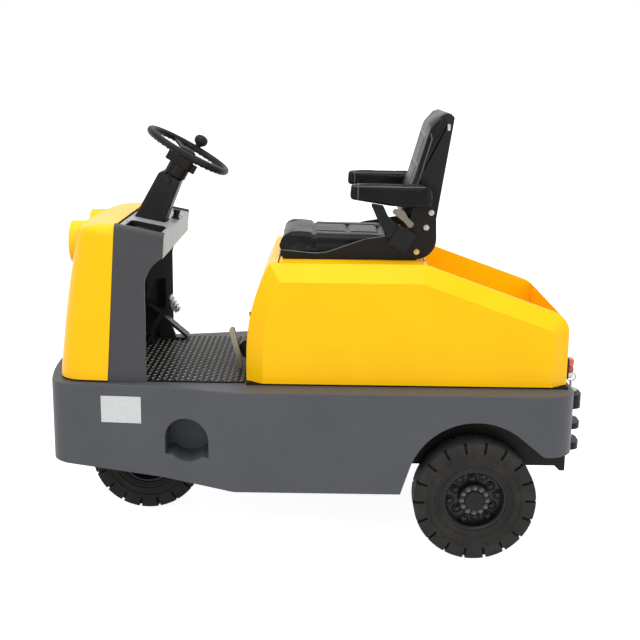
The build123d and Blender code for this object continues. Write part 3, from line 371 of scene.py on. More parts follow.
@dataclass(frozen=True)
class Metal:
    """Bare or plated metal with fine scratches."""

    name: str
    colour: Colour
    roughness: float = 0.32
    scratch: Point = (1, 1, 12)

    def build(self) -> bpy.types.Material:
        """Returns the finished material."""
        shader = Shader(self.name)
        shader.fix(Metallic=1.0)
        lines = shader.noise(120.0, 5.0, 0.6, self.scratch)
        dull = tuple(c * 0.72 for c in self.colour)
        shader.feed("Base Color", shader.mix(lines.step(0.3, 0.7), dull, self.colour))
        shader.feed("Roughness", self.roughness + 0.25 * (lines - 0.5))
        shader.bump(lines, 0.15, 0.0003)
        return shader.material


@dataclass(frozen=True)
class Lens:
    """Coloured lamp lens with moulded flutes."""

    name: str
    colour: Colour
    clear: float = 0.0
    flutes: float = 160.0

    def build(self) -> bpy.types.Material:
        """Returns the finished material."""
        shader = Shader(self.name)
        shader.fix(Transmission_Weight=self.clear, IOR=1.49, Coat_Weight=0.6)
        deep = tuple(c * 0.6 for c in self.colour)
        shader.feed("Base Color", shader.mix(shader.noise(90.0, 2.0).step(0.35, 0.7), deep, self.colour))
        shader.feed("Roughness", 0.12 + 0.06 * shader.noise(40.0))
        inputs = {"Vector": shader.place(), "Scale": self.flutes}
        waves = shader.node("ShaderNodeTexWave", {"bands_direction": "Y"}, inputs, "Fac")
        shader.bump(waves, 0.25, 0.0008)
        return shader.material


@dataclass(frozen=True)
class PedalPaint:
    """Black pedal paint that is worn to bright metal on the brake pad."""

    name: str
    colour: Colour
    bright: Colour
    pad_low: float = 0.785
    pad_ahead: float = 0.658
    soft: float = 0.004

    def build(self) -> bpy.types.Material:
        """Returns the finished material."""
        shader = Shader(self.name)
        high = shader.axis("Z").step(self.pad_low - self.soft, self.pad_low + self.soft)
        ahead = shader.axis("X").step(self.pad_ahead - self.soft, self.pad_ahead + self.soft)
        worn = high * (1 - ahead) * shader.noise(25.0, 4.0).step(0.1, 0.35)
        shader.feed("Base Color", shader.mix(worn, self.colour, self.bright))
        shader.feed("Metallic", 0.9 * worn)
        shader.feed("Roughness", 0.42 - 0.1 * worn + 0.1 * (shader.noise(60.0) - 0.5))
        shader.bump(shader.noise(300.0, 2.0), 0.25, 0.0004)
        return shader.material


YELLOW = Paint(
    "yellow_gloss", srgb(255, 193, 0), roughness=0.3, coat=0.06, peel=0.06, cloud=0.02, gloss=0.16
)
CHASSIS_GREY = Paint("chassis_grey", srgb(80, 82, 86), roughness=0.45, peel=0.2, cloud=0.05)
PANEL_GREY = Paint("panel_grey", srgb(68, 68, 71), roughness=0.42, peel=0.2, cloud=0.05)
TRAY_SILVER = Paint("tray_silver", srgb(164, 168, 170), roughness=0.4, peel=0.2, metallic=0.2)
BLACK_STEEL = Paint("black_steel", srgb(20, 18, 16), roughness=0.36, peel=0.2, gloss=0.16)
RIM_BLACK = Paint("rim_black", srgb(20, 20, 22), roughness=0.3, peel=0.15, gloss=0.3)
CAST_BLACK = Paint("cast_black", srgb(22, 22, 24), roughness=0.45, peel=0.5, peel_scale=220.0)
BATTERY_GREY = Paint("battery_grey", srgb(92, 96, 100), roughness=0.5)
TREAD_BLACK = Paint("tread_black", srgb(20, 20, 21), roughness=0.42, peel=0.2, gloss=0.07)
TYRE = Rubber("tyre_rubber", srgb(38, 37, 36), srgb(74, 70, 64))
SEAL = Rubber("seal_rubber", srgb(18, 18, 18), srgb(40, 40, 40), dust_share=0.2)
PLASTIC = Grained("black_plastic", srgb(18, 18, 19), roughness=0.4)
VINYL = Grained(
    "seat_vinyl", srgb(9, 9, 10), grain=380.0, depth=0.0003, strength=0.25, roughness=0.3, gloss=0.14
)
LEVER = Metal("lever_bronze", srgb(150, 142, 124), roughness=0.34)
STEEL = Metal("bare_steel", srgb(190, 190, 188))
ZINC = Metal("yellow_zinc", srgb(205, 178, 120), roughness=0.25)
CLEAR_LENS = Lens("clear_lens", (0.95, 0.97, 1.0), clear=0.9)
AMBER_LENS = Lens("amber_lens", srgb(226, 96, 20))
RED_LENS = Lens("red_lens", srgb(190, 30, 22))
WHITE_LENS = Lens("white_lens", srgb(226, 226, 222))
# The tread leaves' bright bare-metal colour on the black plate is a painted glint on each leaf.
TREAD_LEAF_GLINT = Metal("tread_leaf_painted_glint", srgb(176, 176, 174), roughness=0.26, scratch=(6, 6, 1))
# The piping's grey, lighter than the black vinyl, is a painted highlight along the piped seams and the seat
# plates' top edges.
PIPING_HIGHLIGHT = Grained("seat_piping", srgb(84, 85, 86), grain=900.0, depth=0.0002, roughness=0.38)
BUCKLE = Metal("buckle_steel", srgb(128, 120, 110), roughness=0.36)
REFLECTOR = Metal("lamp_reflector", srgb(236, 238, 240), roughness=0.12)
LABEL = Metal("blank_label", srgb(190, 192, 192), roughness=0.4, scratch=(12, 1, 1))
DARK_NUT = Metal("dark_nut", srgb(96, 95, 93), roughness=0.38)
PEDAL = PedalPaint("pedal_black", srgb(30, 30, 31), srgb(186, 186, 182))

FINISHED_NODES: tuple[tuple[Any, str], ...] = (
    (
        CHASSIS_GREY,
        "chassis_side_left chassis_side_right chassis_nose chassis_tail chassis_deck "
        "step_pockets",
    ),
    (
        BLACK_STEEL,
        "wheel_houses belly_plate steering_bed console_frame column_tube drive_motor "
        "tow_coupling seat_frame steering_fork",
    ),
    (SEAL, "body_seals"),
    (BATTERY_GREY, "battery"),
    (YELLOW, "body_sides body_front body_tail load_tray lid_ledge seat_lid front_hood"),
    (AMBER_LENS, "tail_lamps"),
    (TREAD_BLACK, "floor_plate"),
    (CLEAR_LENS, "headlamps"),
    (PANEL_GREY, "console_panels"),
    (TRAY_SILVER, "console_tray"),
    (PLASTIC, "column_shroud steering_wheel spinner_knob front_fittings seat_back_shell belt_reel"),
    (PEDAL, "pedals"),
    (LEVER, "parking_lever"),
    (CAST_BLACK, "rear_axle rear_hub_left rear_hub_right"),
    (STEEL, "tow_pin front_axle slewing_ring"),
    (VINYL, "seat_cushion seat_backrest armrest_left armrest_right"),
    (BUCKLE, "belt_buckle"),
    (TYRE, "front_tyre rear_tyre_left rear_tyre_right"),
    (RIM_BLACK, "front_rim rear_rim_left rear_rim_right"),
)
NODE_FINISH = {node: finish for finish, nodes in FINISHED_NODES for node in nodes.split()}


class FinishShelf:
    """Builds each finish once and hands out its material."""

    def __init__(self) -> None:
        """Starts empty."""
        self.made: dict[str, bpy.types.Material] = {}

    def get(self, finish: Any) -> bpy.types.Material:
        """The finish's material."""
        if finish.name not in self.made:
            self.made[finish.name] = finish.build()
        return self.made[finish.name]

    def dress_nodes(self) -> None:
        """Gives every CAD node its finish."""
        for name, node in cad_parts.items():
            node.data.materials.clear()
            node.data.materials.append(self.get(NODE_FINISH[name]))


SHELF = FinishShelf()


class Draft:
    """A mesh in the making, shaped with bmesh operators. Bolts go by their width across the flats."""

    washer_radius: float = 0.85
    washer_thick: float = 0.14
    head_height: float = 0.58

    def __init__(self) -> None:
        """Starts empty."""
        self.shape = bmesh.new()

    @staticmethod
    def rounded(part: bmesh.types.BMesh, edges: Sequence[Any], width: float, segments: int = 2) -> None:
        """Bevels edges.

        Args:
            part: The mesh.
            edges: The edges to round.
            width: Width of the bevel.
            segments: Facets across it.
        """
        how = {"affect": "EDGES", "segments": segments, "profile": 0.5, "material": -1}
        bmesh.ops.bevel(part, geom=list(edges), offset=width, **how)

    @staticmethod
    def revolved(outline: Outline, steps: int, closed: bool = False) -> bmesh.types.BMesh:
        """Spins an outline about Z.

        Args:
            outline: Radius and height of each point.
            steps: Facets round the axis.
            closed: Whether the last point joins the first.

        Returns:
            The turned mesh.
        """
        part = bmesh.new()
        verts = [part.verts.new((radius, 0, height)) for radius, height in outline]
        pairs = list(zip(verts, verts[1:])) + ([(verts[-1], verts[0])] if closed else [])
        edges = [part.edges.new(pair) for pair in pairs]
        spin = {"cent": (0, 0, 0), "axis": (0, 0, 1), "angle": math.tau, "steps": steps, "use_merge": True}
        bmesh.ops.spin(part, geom=verts + edges, **spin)
        bmesh.ops.remove_doubles(part, verts=part.verts, dist=1e-6)
        bmesh.ops.recalc_face_normals(part, faces=part.faces)
        return part

    def take(self, part: bmesh.types.BMesh, place: Matrix) -> None:
        """Adds a placed mesh to this one and frees it.

        Args:
            part: The mesh, with its normals outwards.
            place: Where it goes.
        """
        bmesh.ops.transform(part, matrix=place, verts=part.verts)
        mesh = bpy.data.meshes.new("loose")
        part.to_mesh(mesh)
        part.free()
        self.shape.from_mesh(mesh)
        bpy.data.meshes.remove(mesh)

    def turned(self, outline: Outline, place: Matrix, steps: int = 32) -> None:
        """Adds a turned shape.

        Args:
            outline: Radius and height of each point.
            place: Where it goes.
            steps: Facets round the axis.
        """
        self.take(self.revolved(outline, steps), place)

    def box(self, size: Point, place: Matrix, edge: float = 0.0, segments: int = 2) -> None:
        """Adds a box with rounded edges.

        Args:
            size: Its sides.
            place: Where its middle goes.
            edge: Width of the rounding.
            segments: Facets across the rounding.
        """
        part = bmesh.new()
        bmesh.ops.create_cube(part, size=1.0)
        bmesh.ops.scale(part, vec=size, verts=part.verts)
        if edge:
            self.rounded(part, part.edges, edge, segments)
        self.take(part, place)

    def hexagon(self, across: float, height: float, place: Matrix) -> None:
        """Adds a chamfered hexagon head.

        Args:
            across: Width across the flats.
            height: Height of the head.
            place: Where its foot goes.
        """
        part = bmesh.new()
        radius = across / math.sqrt(3)
        bmesh.ops.create_cone(part, cap_ends=True, segments=6, radius1=radius, radius2=radius, depth=height)
        bmesh.ops.translate(part, vec=(0, 0, height / 2), verts=part.verts)
        top = [e for e in part.edges if all(v.co.z > 0.9 * height for v in e.verts)]
        self.rounded(part, top, 0.18 * height, 1)
        self.take(part, place)

    def bolt(self, across: float, place: Matrix) -> None:
        """Adds a hexagon head on its washer.

        Args:
            across: Width across the flats.
            place: Where the washer lies.
        """
        wide, thick = self.washer_radius * across, self.washer_thick * across
        self.turned([(0, 0), (wide, 0), (wide, 0.7 * thick), (0.94 * wide, thick), (0, thick)], place, 20)
        self.hexagon(across, self.head_height * across, place @ Matrix.Translation((0, 0, thick)))

    def pebble(self, place: Matrix) -> None:
        """Adds a small faceted ball, scaled by its place."""
        bmesh.ops.create_icosphere(self.shape, subdivisions=2, radius=1.0, matrix=place)

    def tube(self, points: Sequence[Vector], radius: float, closed: bool = False) -> None:
        """Adds a round tube along a smooth line.

        Args:
            points: Control points of the line.
            radius: Radius of the tube.
            closed: Whether the line joins its start.
        """
        data = bpy.data.curves.new("line", "CURVE")
        data.dimensions = "3D"
        data.bevel_depth = radius
        data.bevel_resolution = 2
        data.resolution_u = 5
        data.use_fill_caps = True
        line = data.splines.new("NURBS")
        line.points.add(len(points) - 1)
        for knot, point in zip(line.points, points):
            knot.co = (*point, 1)
        line.use_cyclic_u = closed
        line.use_endpoint_u = not closed
        line.order_u = 3
        holder = bpy.data.objects.new("line", data)
        mesh = bpy.data.meshes.new_from_object(holder)
        self.shape.from_mesh(mesh)
        bpy.data.objects.remove(holder)
        bpy.data.meshes.remove(mesh)
        bpy.data.curves.remove(data)

    def done(self, name: str, finish: Any, body: str, crease_deg: float = 38.0) -> bpy.types.Object:
        """Makes the piece.

        Args:
            name: The piece's name.
            finish: Its finish.
            body: The body it rides on.
            crease_deg: Edges sharper than this stay sharp.

        Returns:
            The piece.
        """
        mesh = bpy.data.meshes.new(name)
        self.shape.to_mesh(mesh)
        self.shape.free()
        mesh.shade_smooth()
        mesh.set_sharp_from_angle(angle=math.radians(crease_deg))
        mesh.materials.append(SHELF.get(finish))
        piece = bpy.data.objects.new(name, mesh)
        bpy.context.scene.collection.objects.link(piece)
        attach(piece, body)
        LOG.info("%s: %d faces", name, len(mesh.polygons))
        return piece


def middle(node: str) -> Vector:
    """The middle of a node's box."""
    low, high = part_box(node)
    return (low + high) / 2


def surface(mesh: bpy.types.Mesh) -> BVHTree:
    """A mesh's surface, for rays and nearest points."""
    return BVHTree.FromPolygons([v.co for v in mesh.vertices], [p.vertices for p in mesh.polygons])


@dataclass
class TreadFloor:
    """The raised leaves of the floor's tread plate, in bright metal that paints their glints."""

    pitch: float = 0.023
    margin: float = 0.014
    leaf: Point = (0.0090, 0.0026, 0.0020)

    def build(self) -> None:
        """Sets leaves in two crossing directions over the floor plate."""
        low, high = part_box("floor_plate")
        draft = Draft()
        rows = int((high.x - low.x - 2 * self.margin) / self.pitch) + 1
        columns = int((high.y - low.y - 2 * self.margin) / self.pitch) + 1
        for row in range(rows):
            for column in range(columns):
                lean = math.radians(45 if (row + column) % 2 else -45)
                x = low.x + self.margin + row * self.pitch
                y = low.y + self.margin + column * self.pitch
                turn = Matrix.Rotation(lean, 4, "Z") @ Matrix.Diagonal((*self.leaf, 1))
                draft.pebble(Matrix.Translation((x, y, high.z)) @ turn)
        draft.done("floor_tread", TREAD_LEAF_GLINT, "chassis")


@dataclass
class Tyre:
    """A solid tyre, turned with its side rings and then slotted into shoulder lugs."""

    node: str
    body: str
    lugs: int = 18
    steps_per_lug: int = 7
    slot_radius: float = 0.190
    slot_side: float = 0.030
    slot_depth: float = 0.016
    slot_lip: float = 0.0008
    half: tuple[Place, ...] = (
        (0.1205, 0.0500), (0.1215, 0.0560), (0.1250, 0.0590), (0.1300, 0.0592), (0.1320, 0.0628),
        (0.1350, 0.0628), (0.1370, 0.0590), (0.1450, 0.0590), (0.1470, 0.0632), (0.1510, 0.0632),
        (0.1535, 0.0588), (0.1745, 0.0592), (0.1765, 0.0634), (0.1795, 0.0634), (0.1815, 0.0598),
        (0.1905, 0.0604), (0.2050, 0.0634), (0.2200, 0.0632), (0.2290, 0.0606), (0.2322, 0.0565),
        (0.2335, 0.0510), (0.2335, 0.0400), (0.2335, 0.0300), (0.2335, 0.0),
    )

    def build(self) -> None:
        """Turns the tyre, presses the slots in and stands it for its node."""
        outline = list(self.half) + [(r, -h) for r, h in reversed(self.half[:-1])]
        steps = self.lugs * self.steps_per_lug
        part = Draft.revolved(outline, steps, closed=True)
        slots = [face for face in part.faces if self._slotted(face.calc_center_median(), steps)]
        lip, deep = self.slot_lip, -self.slot_depth
        bmesh.ops.inset_region(part, faces=slots, thickness=lip, depth=deep, use_even_offset=True)
        bmesh.ops.recalc_face_normals(part, faces=part.faces)
        draft = Draft()
        draft.take(part, Facing.LEFT.at(middle(self.node)))
        piece = draft.done(self.node + "_lugs", TYRE, self.body, 32.0)
        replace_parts(piece, self.node)

    def _slotted(self, centre: Vector, steps: int) -> bool:
        """Whether a face lies in a slot between two lugs.

        Args:
            centre: The face's middle.
            steps: Facets round the tyre.

        Returns:
            True in a slot.
        """
        step = int((math.atan2(centre.y, centre.x) % math.tau) / math.tau * steps) % self.steps_per_lug
        wanted = 0 if centre.z > 0 else self.steps_per_lug // 2
        radius = math.hypot(centre.x, centre.y)
        return step == wanted and radius > self.slot_radius and abs(centre.z) > self.slot_side


@dataclass
class BoltCircle:
    """Bolts on a circle: its radius, their size, how far out they sit, the first angle and the count."""

    radius: float
    across: float
    out: float
    first_deg: float
    count: int


@dataclass
class RearWheelBolts:
    """Wheel nuts, disc bolts in their cups and the hub cover's bolts of one rear wheel."""

    side: Side
    circles: tuple[BoltCircle, ...] = (
        BoltCircle(0.093, 0.019, 0.008, 8, 6),
        BoltCircle(0.077, 0.017, 0.008, 36, 6),
        BoltCircle(0.049, 0.011, 0.046, 0, 12),
    )
    cup: tuple[Place, ...] = (
        (0.0150, 0.0), (0.0190, 0.0), (0.0190, 0.0030), (0.0175, 0.0042), (0.0158, 0.0030), (0.0150, 0.0),
    )

    def build(self) -> None:
        """Sets the bolts on the wheel's outer side."""
        name = self.side.name.lower()
        centre = middle(f"rear_tyre_{name}")
        facing = Facing.LEFT if self.side is Side.LEFT else Facing.RIGHT
        bright, dark = Draft(), Draft()
        for circle in self.circles:
            for index in range(circle.count):
                angle = math.radians(circle.first_deg) + index * math.tau / circle.count
                reach = Vector((-math.cos(angle), 0, math.sin(angle))) * circle.radius
                place = facing.at(centre + reach + Vector((0, self.side.value * circle.out, 0)))
                if circle is self.circles[-1]:
                    bright.bolt(circle.across, place)
                else:
                    dark.bolt(circle.across, place)
                    dark.turned(self.cup, place, 24)
        bright.done(f"rear_hub_bolts_{name}", DARK_NUT, f"rear_wheel_{name}")
        dark.done(f"rear_wheel_nuts_{name}", RIM_BLACK, f"rear_wheel_{name}")


@dataclass
class Headlamps:
    """Two round lamps, each a bright bowl with a bulb behind a fluted lens in a black ring."""

    spread: float = 0.185
    bowl: tuple[Place, ...] = (
        (0.0, 0.008), (0.020, 0.009), (0.042, 0.018), (0.056, 0.032), (0.061, 0.040),
    )
    back: tuple[Place, ...] = (
        (0.0, 0.0), (0.046, 0.0), (0.062, 0.012), (0.066, 0.030), (0.066, 0.047), (0.0635, 0.049),
        (0.061, 0.045), (0.061, 0.040), (0.056, 0.031), (0.042, 0.016), (0.020, 0.007), (0.0, 0.006),
    )
    glass: tuple[Place, ...] = (
        (0.0, 0.0505), (0.030, 0.0495), (0.050, 0.0470), (0.0605, 0.0440), (0.0605, 0.0415),
        (0.050, 0.0440), (0.030, 0.0465), (0.0, 0.0475),
    )
    bulb: tuple[Place, ...] = (
        (0.0, 0.009), (0.007, 0.009), (0.007, 0.018), (0.0045, 0.021), (0.0045, 0.034), (0.003, 0.038),
        (0.0, 0.039),
    )
    flutes: int = 9
    flute_pitch: float = 0.0115
    flute_circle: float = 0.058
    flute_level: float = 0.0435
    flute_half: Place = (0.0045, 0.0016)

    def build(self) -> None:
        """Builds both lamps and stands them for their node."""
        low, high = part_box("headlamps")
        parts = {"bowls": REFLECTOR, "rings": PLASTIC, "lenses": CLEAR_LENS, "bulbs": WHITE_LENS}
        drafts = {name: Draft() for name in parts}
        for side in Side:
            place = Facing.AHEAD.at(Vector((low.x, side.value * self.spread, (low.z + high.z) / 2)))
            drafts["bowls"].turned(self.bowl, place, 48)
            drafts["rings"].turned(self.back, place, 48)
            drafts["bulbs"].turned(self.bulb, place, 20)
            drafts["lenses"].turned(self.glass, place, 48)
            for flute in range(self.flutes):
                across = (flute - self.flutes // 2) * self.flute_pitch
                half = math.sqrt(self.flute_circle**2 - across**2)
                rib = Matrix.Diagonal((half, *self.flute_half, 1))
                drafts["lenses"].pebble(place @ Matrix.Translation((0, across, self.flute_level)) @ rib)
        for name, finish in parts.items():
            piece = drafts[name].done(f"headlamp_{name}", finish, "chassis")
            if name == "lenses":
                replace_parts(piece, "headlamps")


@dataclass
class TailLamps:
    """Two upright tail lamps, each a black base with three ribbed lenses one above the other."""

    base_thick: float = 0.007
    gap: float = 0.0015
    shares: tuple[tuple[float, Any], ...] = ((0.30, WHITE_LENS), (0.32, RED_LENS), (0.38, AMBER_LENS))
    width: float = 0.045
    inset: float = 0.0008
    narrower: float = 0.004
    ribs: int = 5
    rib_pitch: float = 0.0075
    rib_half: Place = (0.0012, 0.0028)
    rib_share: float = 0.42
    rib_sunk: float = 0.0014

    def build(self) -> None:
        """Builds both lamps and stands them for their node."""
        low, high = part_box("tail_lamps")
        tall = high.z - low.z
        centre_y = high.y - self.width / 2
        base = Draft()
        for side in Side:
            mid = Vector((high.x - self.base_thick / 2, side.value * centre_y, (low.z + high.z) / 2))
            base.box((self.base_thick, self.width, tall), Matrix.Translation(mid), 0.002)
        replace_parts(base.done("tail_lamp_bases", PLASTIC, "chassis"), "tail_lamps")
        foot = low.z
        deep = high.x - low.x - self.base_thick
        for index, (share, finish) in enumerate(self.shares):
            draft = Draft()
            height = share * tall - self.gap
            for side in Side:
                y = side.value * centre_y
                place = Vector((low.x + deep / 2 + self.inset, y, foot + height / 2))
                size = (deep - 2 * self.inset, self.width - self.narrower, height)
                draft.box(size, Matrix.Translation(place), 0.004, 3)
                for rib in range(self.ribs):
                    across = y + (rib - self.ribs // 2) * self.rib_pitch
                    spread = Matrix.Diagonal((*self.rib_half, self.rib_share * height, 1))
                    draft.pebble(Matrix.Translation((low.x + self.rib_sunk, across, place.z)) @ spread)
            draft.done(f"tail_lamp_lens_{index}", finish, "chassis")
            foot += share * tall


@dataclass
class BlankLabel:
    """The bare data plate on the left side with its four rivets."""

    rear: float = 1279.0
    front: float = 1435.0
    low: float = 494.0
    high: float = 600.0
    thick: float = 0.0012
    inset: float = 0.007
    cast_from: float = 1000.0
    rivet: tuple[Place, ...] = ((0.0030, 0.0), (0.0028, 0.0010), (0.0016, 0.0018), (0.0, 0.0020))

    def build(self) -> None:
        """Lays the plate on the tapering chassis side and rivets it."""
        tree = surface(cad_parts["chassis_side_left"].data)
        height = (self.low + self.high) / 2
        inwards = Vector((0, -1, 0))
        ends = [spot(x, self.cast_from, height) for x in (self.rear, self.front)]
        rear, front = (tree.ray_cast(end, inwards)[0] for end in ends)
        along = (front - rear).normalized()
        out = Vector((-along.y, along.x, 0))
        place = Matrix((along, out, Vector((0, 0, 1)))).transposed().to_4x4()
        place.translation = (rear + front) / 2
        long, tall = (front - rear).length, (self.high - self.low) / 1000
        draft = Draft()
        draft.box((long, self.thick, tall), place @ Matrix.Translation((0, self.thick / 2, 0)), 0.0004, 1)
        for across in (-1, 1):
            for up in (-1, 1):
                x, z = across * (long / 2 - self.inset), up * (tall / 2 - self.inset)
                draft.turned(self.rivet, place @ Facing.LEFT.at(Vector((x, self.thick, z))), 12)
        draft.done("blank_label", LABEL, "chassis")


@dataclass
class SteeringGrip:
    """Finger grips under the steering wheel's rim and the cap on its hub."""

    centre: Point = (1136.97, 0.0, 1506.0)
    rake_deg: float = 29.4
    rim: float = 0.1685
    count: int = 42
    nub: Point = (0.0128, 0.0100, 0.0130)
    drop: float = 0.0035
    cap: tuple[Place, ...] = (
        (0.0, 0.0070), (0.0160, 0.0062), (0.0240, 0.0040), (0.0275, 0.0010), (0.0280, -0.0020),
        (0.0, -0.0020),
    )

    def build(self) -> None:
        """Sets the grips round the rim and closes the hub."""
        lean = Matrix.Rotation(-math.radians(self.rake_deg), 4, "Y")
        place = Matrix.Translation(spot(*self.centre)) @ lean
        grips = Draft()
        for index in range(self.count):
            turn = Matrix.Rotation(index * math.tau / self.count, 4, "Z")
            out = Matrix.Translation((self.rim, 0, -self.drop)) @ Matrix.Diagonal((*self.nub, 1))
            grips.pebble(place @ turn @ out)
        grips.done("wheel_grips", PLASTIC, "steering_wheel", 60.0)
        cap = Draft()
        cap.turned(self.cap, place, 40)
        cap.done("wheel_cap", PLASTIC, "steering_wheel")


@dataclass
class ConsoleFittings:
    """Key switch, clamp knob, screws and pocket liner of the sloping console tray."""

    edge_x: float = 1186.0
    edge_z: float = 1213.7
    slope_deg: float = 10.9
    key: Place = (1206.0, -90.0)
    screws: tuple[Place, ...] = ((1353.0, 218.0), (1350.0, 44.0), (1352.0, -59.0))
    pocket: Place = (1274.0, 252.0)
    pocket_size: Point = (0.139, 0.192, 0.026)
    pocket_corner: float = 0.024
    pocket_sunk: float = 0.001
    pocket_wall: float = 0.0012
    block: Point = (0.080, 0.110, 0.012)
    block_place: Place = (0.004, -0.012)
    bar: Point = (0.060, 0.010, 0.005)
    bar_places: tuple[float, ...] = (-0.036, -0.012, 0.012)
    handle: tuple[Place, ...] = ((1203.0, 1246.0), (1190.0, 1236.0), (1177.0, 1224.0))
    handle_radius: float = 0.0032
    screw_head: tuple[Place, ...] = (
        (0.0065, 0.0), (0.0063, 0.0018), (0.0045, 0.0034), (0.0022, 0.0040), (0.0022, 0.0022),
        (0.0, 0.0022),
    )
    clamp: Point = (1211.0, 28.0, 1405.0)
    barrel: tuple[Place, ...] = (
        (0.0, 0.0), (0.0170, 0.0), (0.0170, 0.0050), (0.0130, 0.0080), (0.0115, 0.0240),
        (0.0150, 0.0270), (0.0150, 0.0350), (0.0125, 0.0380), (0.0, 0.0390),
    )
    knob: tuple[Place, ...] = (
        (0.0, 0.0), (0.0060, 0.0), (0.0060, 0.0120), (0.0110, 0.0125), (0.0118, 0.0150), (0.0118, 0.0230),
        (0.0100, 0.0255), (0.0, 0.0260),
    )

    def on_tray(self, x: float, y: float) -> Matrix:
        """The placing of a shape that stands on the tray.

        Args:
            x: Ahead of the rear axle, in millimetres.
            y: Left of the centre line, in millimetres.

        Returns:
            The placing.
        """
        slope = math.radians(self.slope_deg)
        height = self.edge_z + (x - self.edge_x) * math.tan(slope)
        return Matrix.Translation(spot(x, y, height)) @ Matrix.Rotation(-slope, 4, "Y")

    def liner(self) -> None:
        """Lays a black liner with a raised slot block into the oddments pocket."""
        down = -self.pocket_size[2] / 2 - self.pocket_sunk
        place = self.on_tray(*self.pocket) @ Matrix.Translation((0, 0, down))
        part = bmesh.new()
        bmesh.ops.create_cube(part, size=1.0)
        bmesh.ops.scale(part, vec=self.pocket_size, verts=part.verts)
        upright = [e for e in part.edges if abs(e.verts[0].co.z - e.verts[1].co.z) > 0.01]
        Draft.rounded(part, upright, self.pocket_corner, 5)
        part.normal_update()
        bmesh.ops.delete(part, geom=[f for f in part.faces if f.normal.z > 0.9], context="FACES_ONLY")
        bmesh.ops.solidify(part, geom=part.faces[:], thickness=self.pocket_wall)
        draft = Draft()
        draft.take(part, place)
        foot = -self.pocket_size[2] / 2
        ahead, across = self.block_place
        lift = foot + self.block[2] / 2
        draft.box(self.block, place @ Matrix.Translation((ahead, across, lift)), 0.003)
        lift = foot + self.block[2] + 0.3 * self.bar[2]
        for bar_y in self.bar_places:
            draft.box(self.bar, place @ Matrix.Translation((ahead, bar_y, lift)), 0.0015)
        draft.done("pocket_liner", PLASTIC, "chassis")

    def build(self) -> None:
        """Builds the key switch, the clamp knob, the screws and the liner."""
        place = self.on_tray(*self.key)
        switch, key, screws = Draft(), Draft(), Draft()
        switch.turned(self.barrel, place, 32)
        switch.turned(self.knob, Facing.LEFT.at(spot(*self.clamp)), 28)
        switch.done("key_switch", PLASTIC, "chassis")
        key.tube([spot(x, self.key[1], z) for x, z in self.handle], self.handle_radius)
        key.done("key_handle", STEEL, "chassis")
        for x, y in self.screws:
            screws.turned(self.screw_head, self.on_tray(x, y), 20)
        screws.done("tray_screws", STEEL, "chassis")
        self.liner()


@dataclass
class BrakeCover:
    """The bright ribbed cover on the brake pedal's pad."""

    centre: Point = (1243.0, -235.0, 824.0)
    tilt_deg: float = 32.6
    pad_half: float = 0.007
    plate: Point = (0.002, 0.062, 0.077)
    rib: Point = (0.008, 0.062, 0.009)
    rib_pitch: float = 0.0165
    ribs: int = 5

    def build(self) -> None:
        """Lays the plate on the pad and sets the ribs on it."""
        tilt = Matrix.Rotation(math.radians(self.tilt_deg), 4, "Y")
        place = Matrix.Translation(spot(*self.centre)) @ tilt
        draft = Draft()
        back = -self.pad_half - self.plate[0] / 2
        draft.box(self.plate, place @ Matrix.Translation((back, 0, 0)), 0.0006, 1)
        front = -self.pad_half - self.plate[0] - self.rib[0] / 2
        for index in range(self.ribs):
            height = (index - self.ribs // 2) * self.rib_pitch
            draft.box(self.rib, place @ Matrix.Translation((front, 0, height)), 0.002)
        draft.done("brake_cover", STEEL, "chassis")


@dataclass
class BatteryTop:
    """Cell caps and link bars on the battery, seen with the seat lid open."""

    rows: int = 6
    columns: int = 4
    link_share: float = 0.8
    link_wide: float = 0.022
    link_tall: float = 0.008
    link_aside: float = 0.045
    cap: tuple[Place, ...] = (
        (0.0, 0.012), (0.012, 0.012), (0.014, 0.010), (0.014, 0.005), (0.018, 0.004), (0.018, 0.0),
        (0.0, 0.0),
    )

    def build(self) -> None:
        """Sets out the cells on the battery's top."""
        low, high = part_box("battery")
        caps, links = Draft(), Draft()
        step_x, step_y = (high.x - low.x) / self.rows, (high.y - low.y) / self.columns
        for row in range(self.rows):
            for column in range(self.columns):
                place = Vector((low.x + (row + 0.5) * step_x, low.y + (column + 0.5) * step_y, high.z))
                caps.turned(self.cap, Matrix.Translation(place), 20)
                if row < self.rows - 1:
                    along = place + Vector((step_x / 2, self.link_aside, self.link_tall / 2))
                    size = (step_x * self.link_share, self.link_wide, self.link_tall)
                    links.box(size, Matrix.Translation(along), 0.002)
        caps.done("battery_caps", AMBER_LENS, "chassis")
        links.done("battery_links", SEAL, "chassis")


@dataclass
class PinRing:
    """The lifting ring through the tow pin's head."""

    centre: Point = (-455.0, 0.0, 586.0)
    radius: float = 0.019
    wire: float = 0.003
    knots: int = 10

    def build(self) -> None:
        """Bends the ring."""
        draft = Draft()
        knots = [
            spot(*self.centre) + self.radius * Vector((math.cos(a), 0, math.sin(a)))
            for a in (index * math.tau / self.knots for index in range(self.knots))
        ]
        draft.tube(knots, self.wire, closed=True)
        draft.done("tow_pin_ring", STEEL, "chassis")


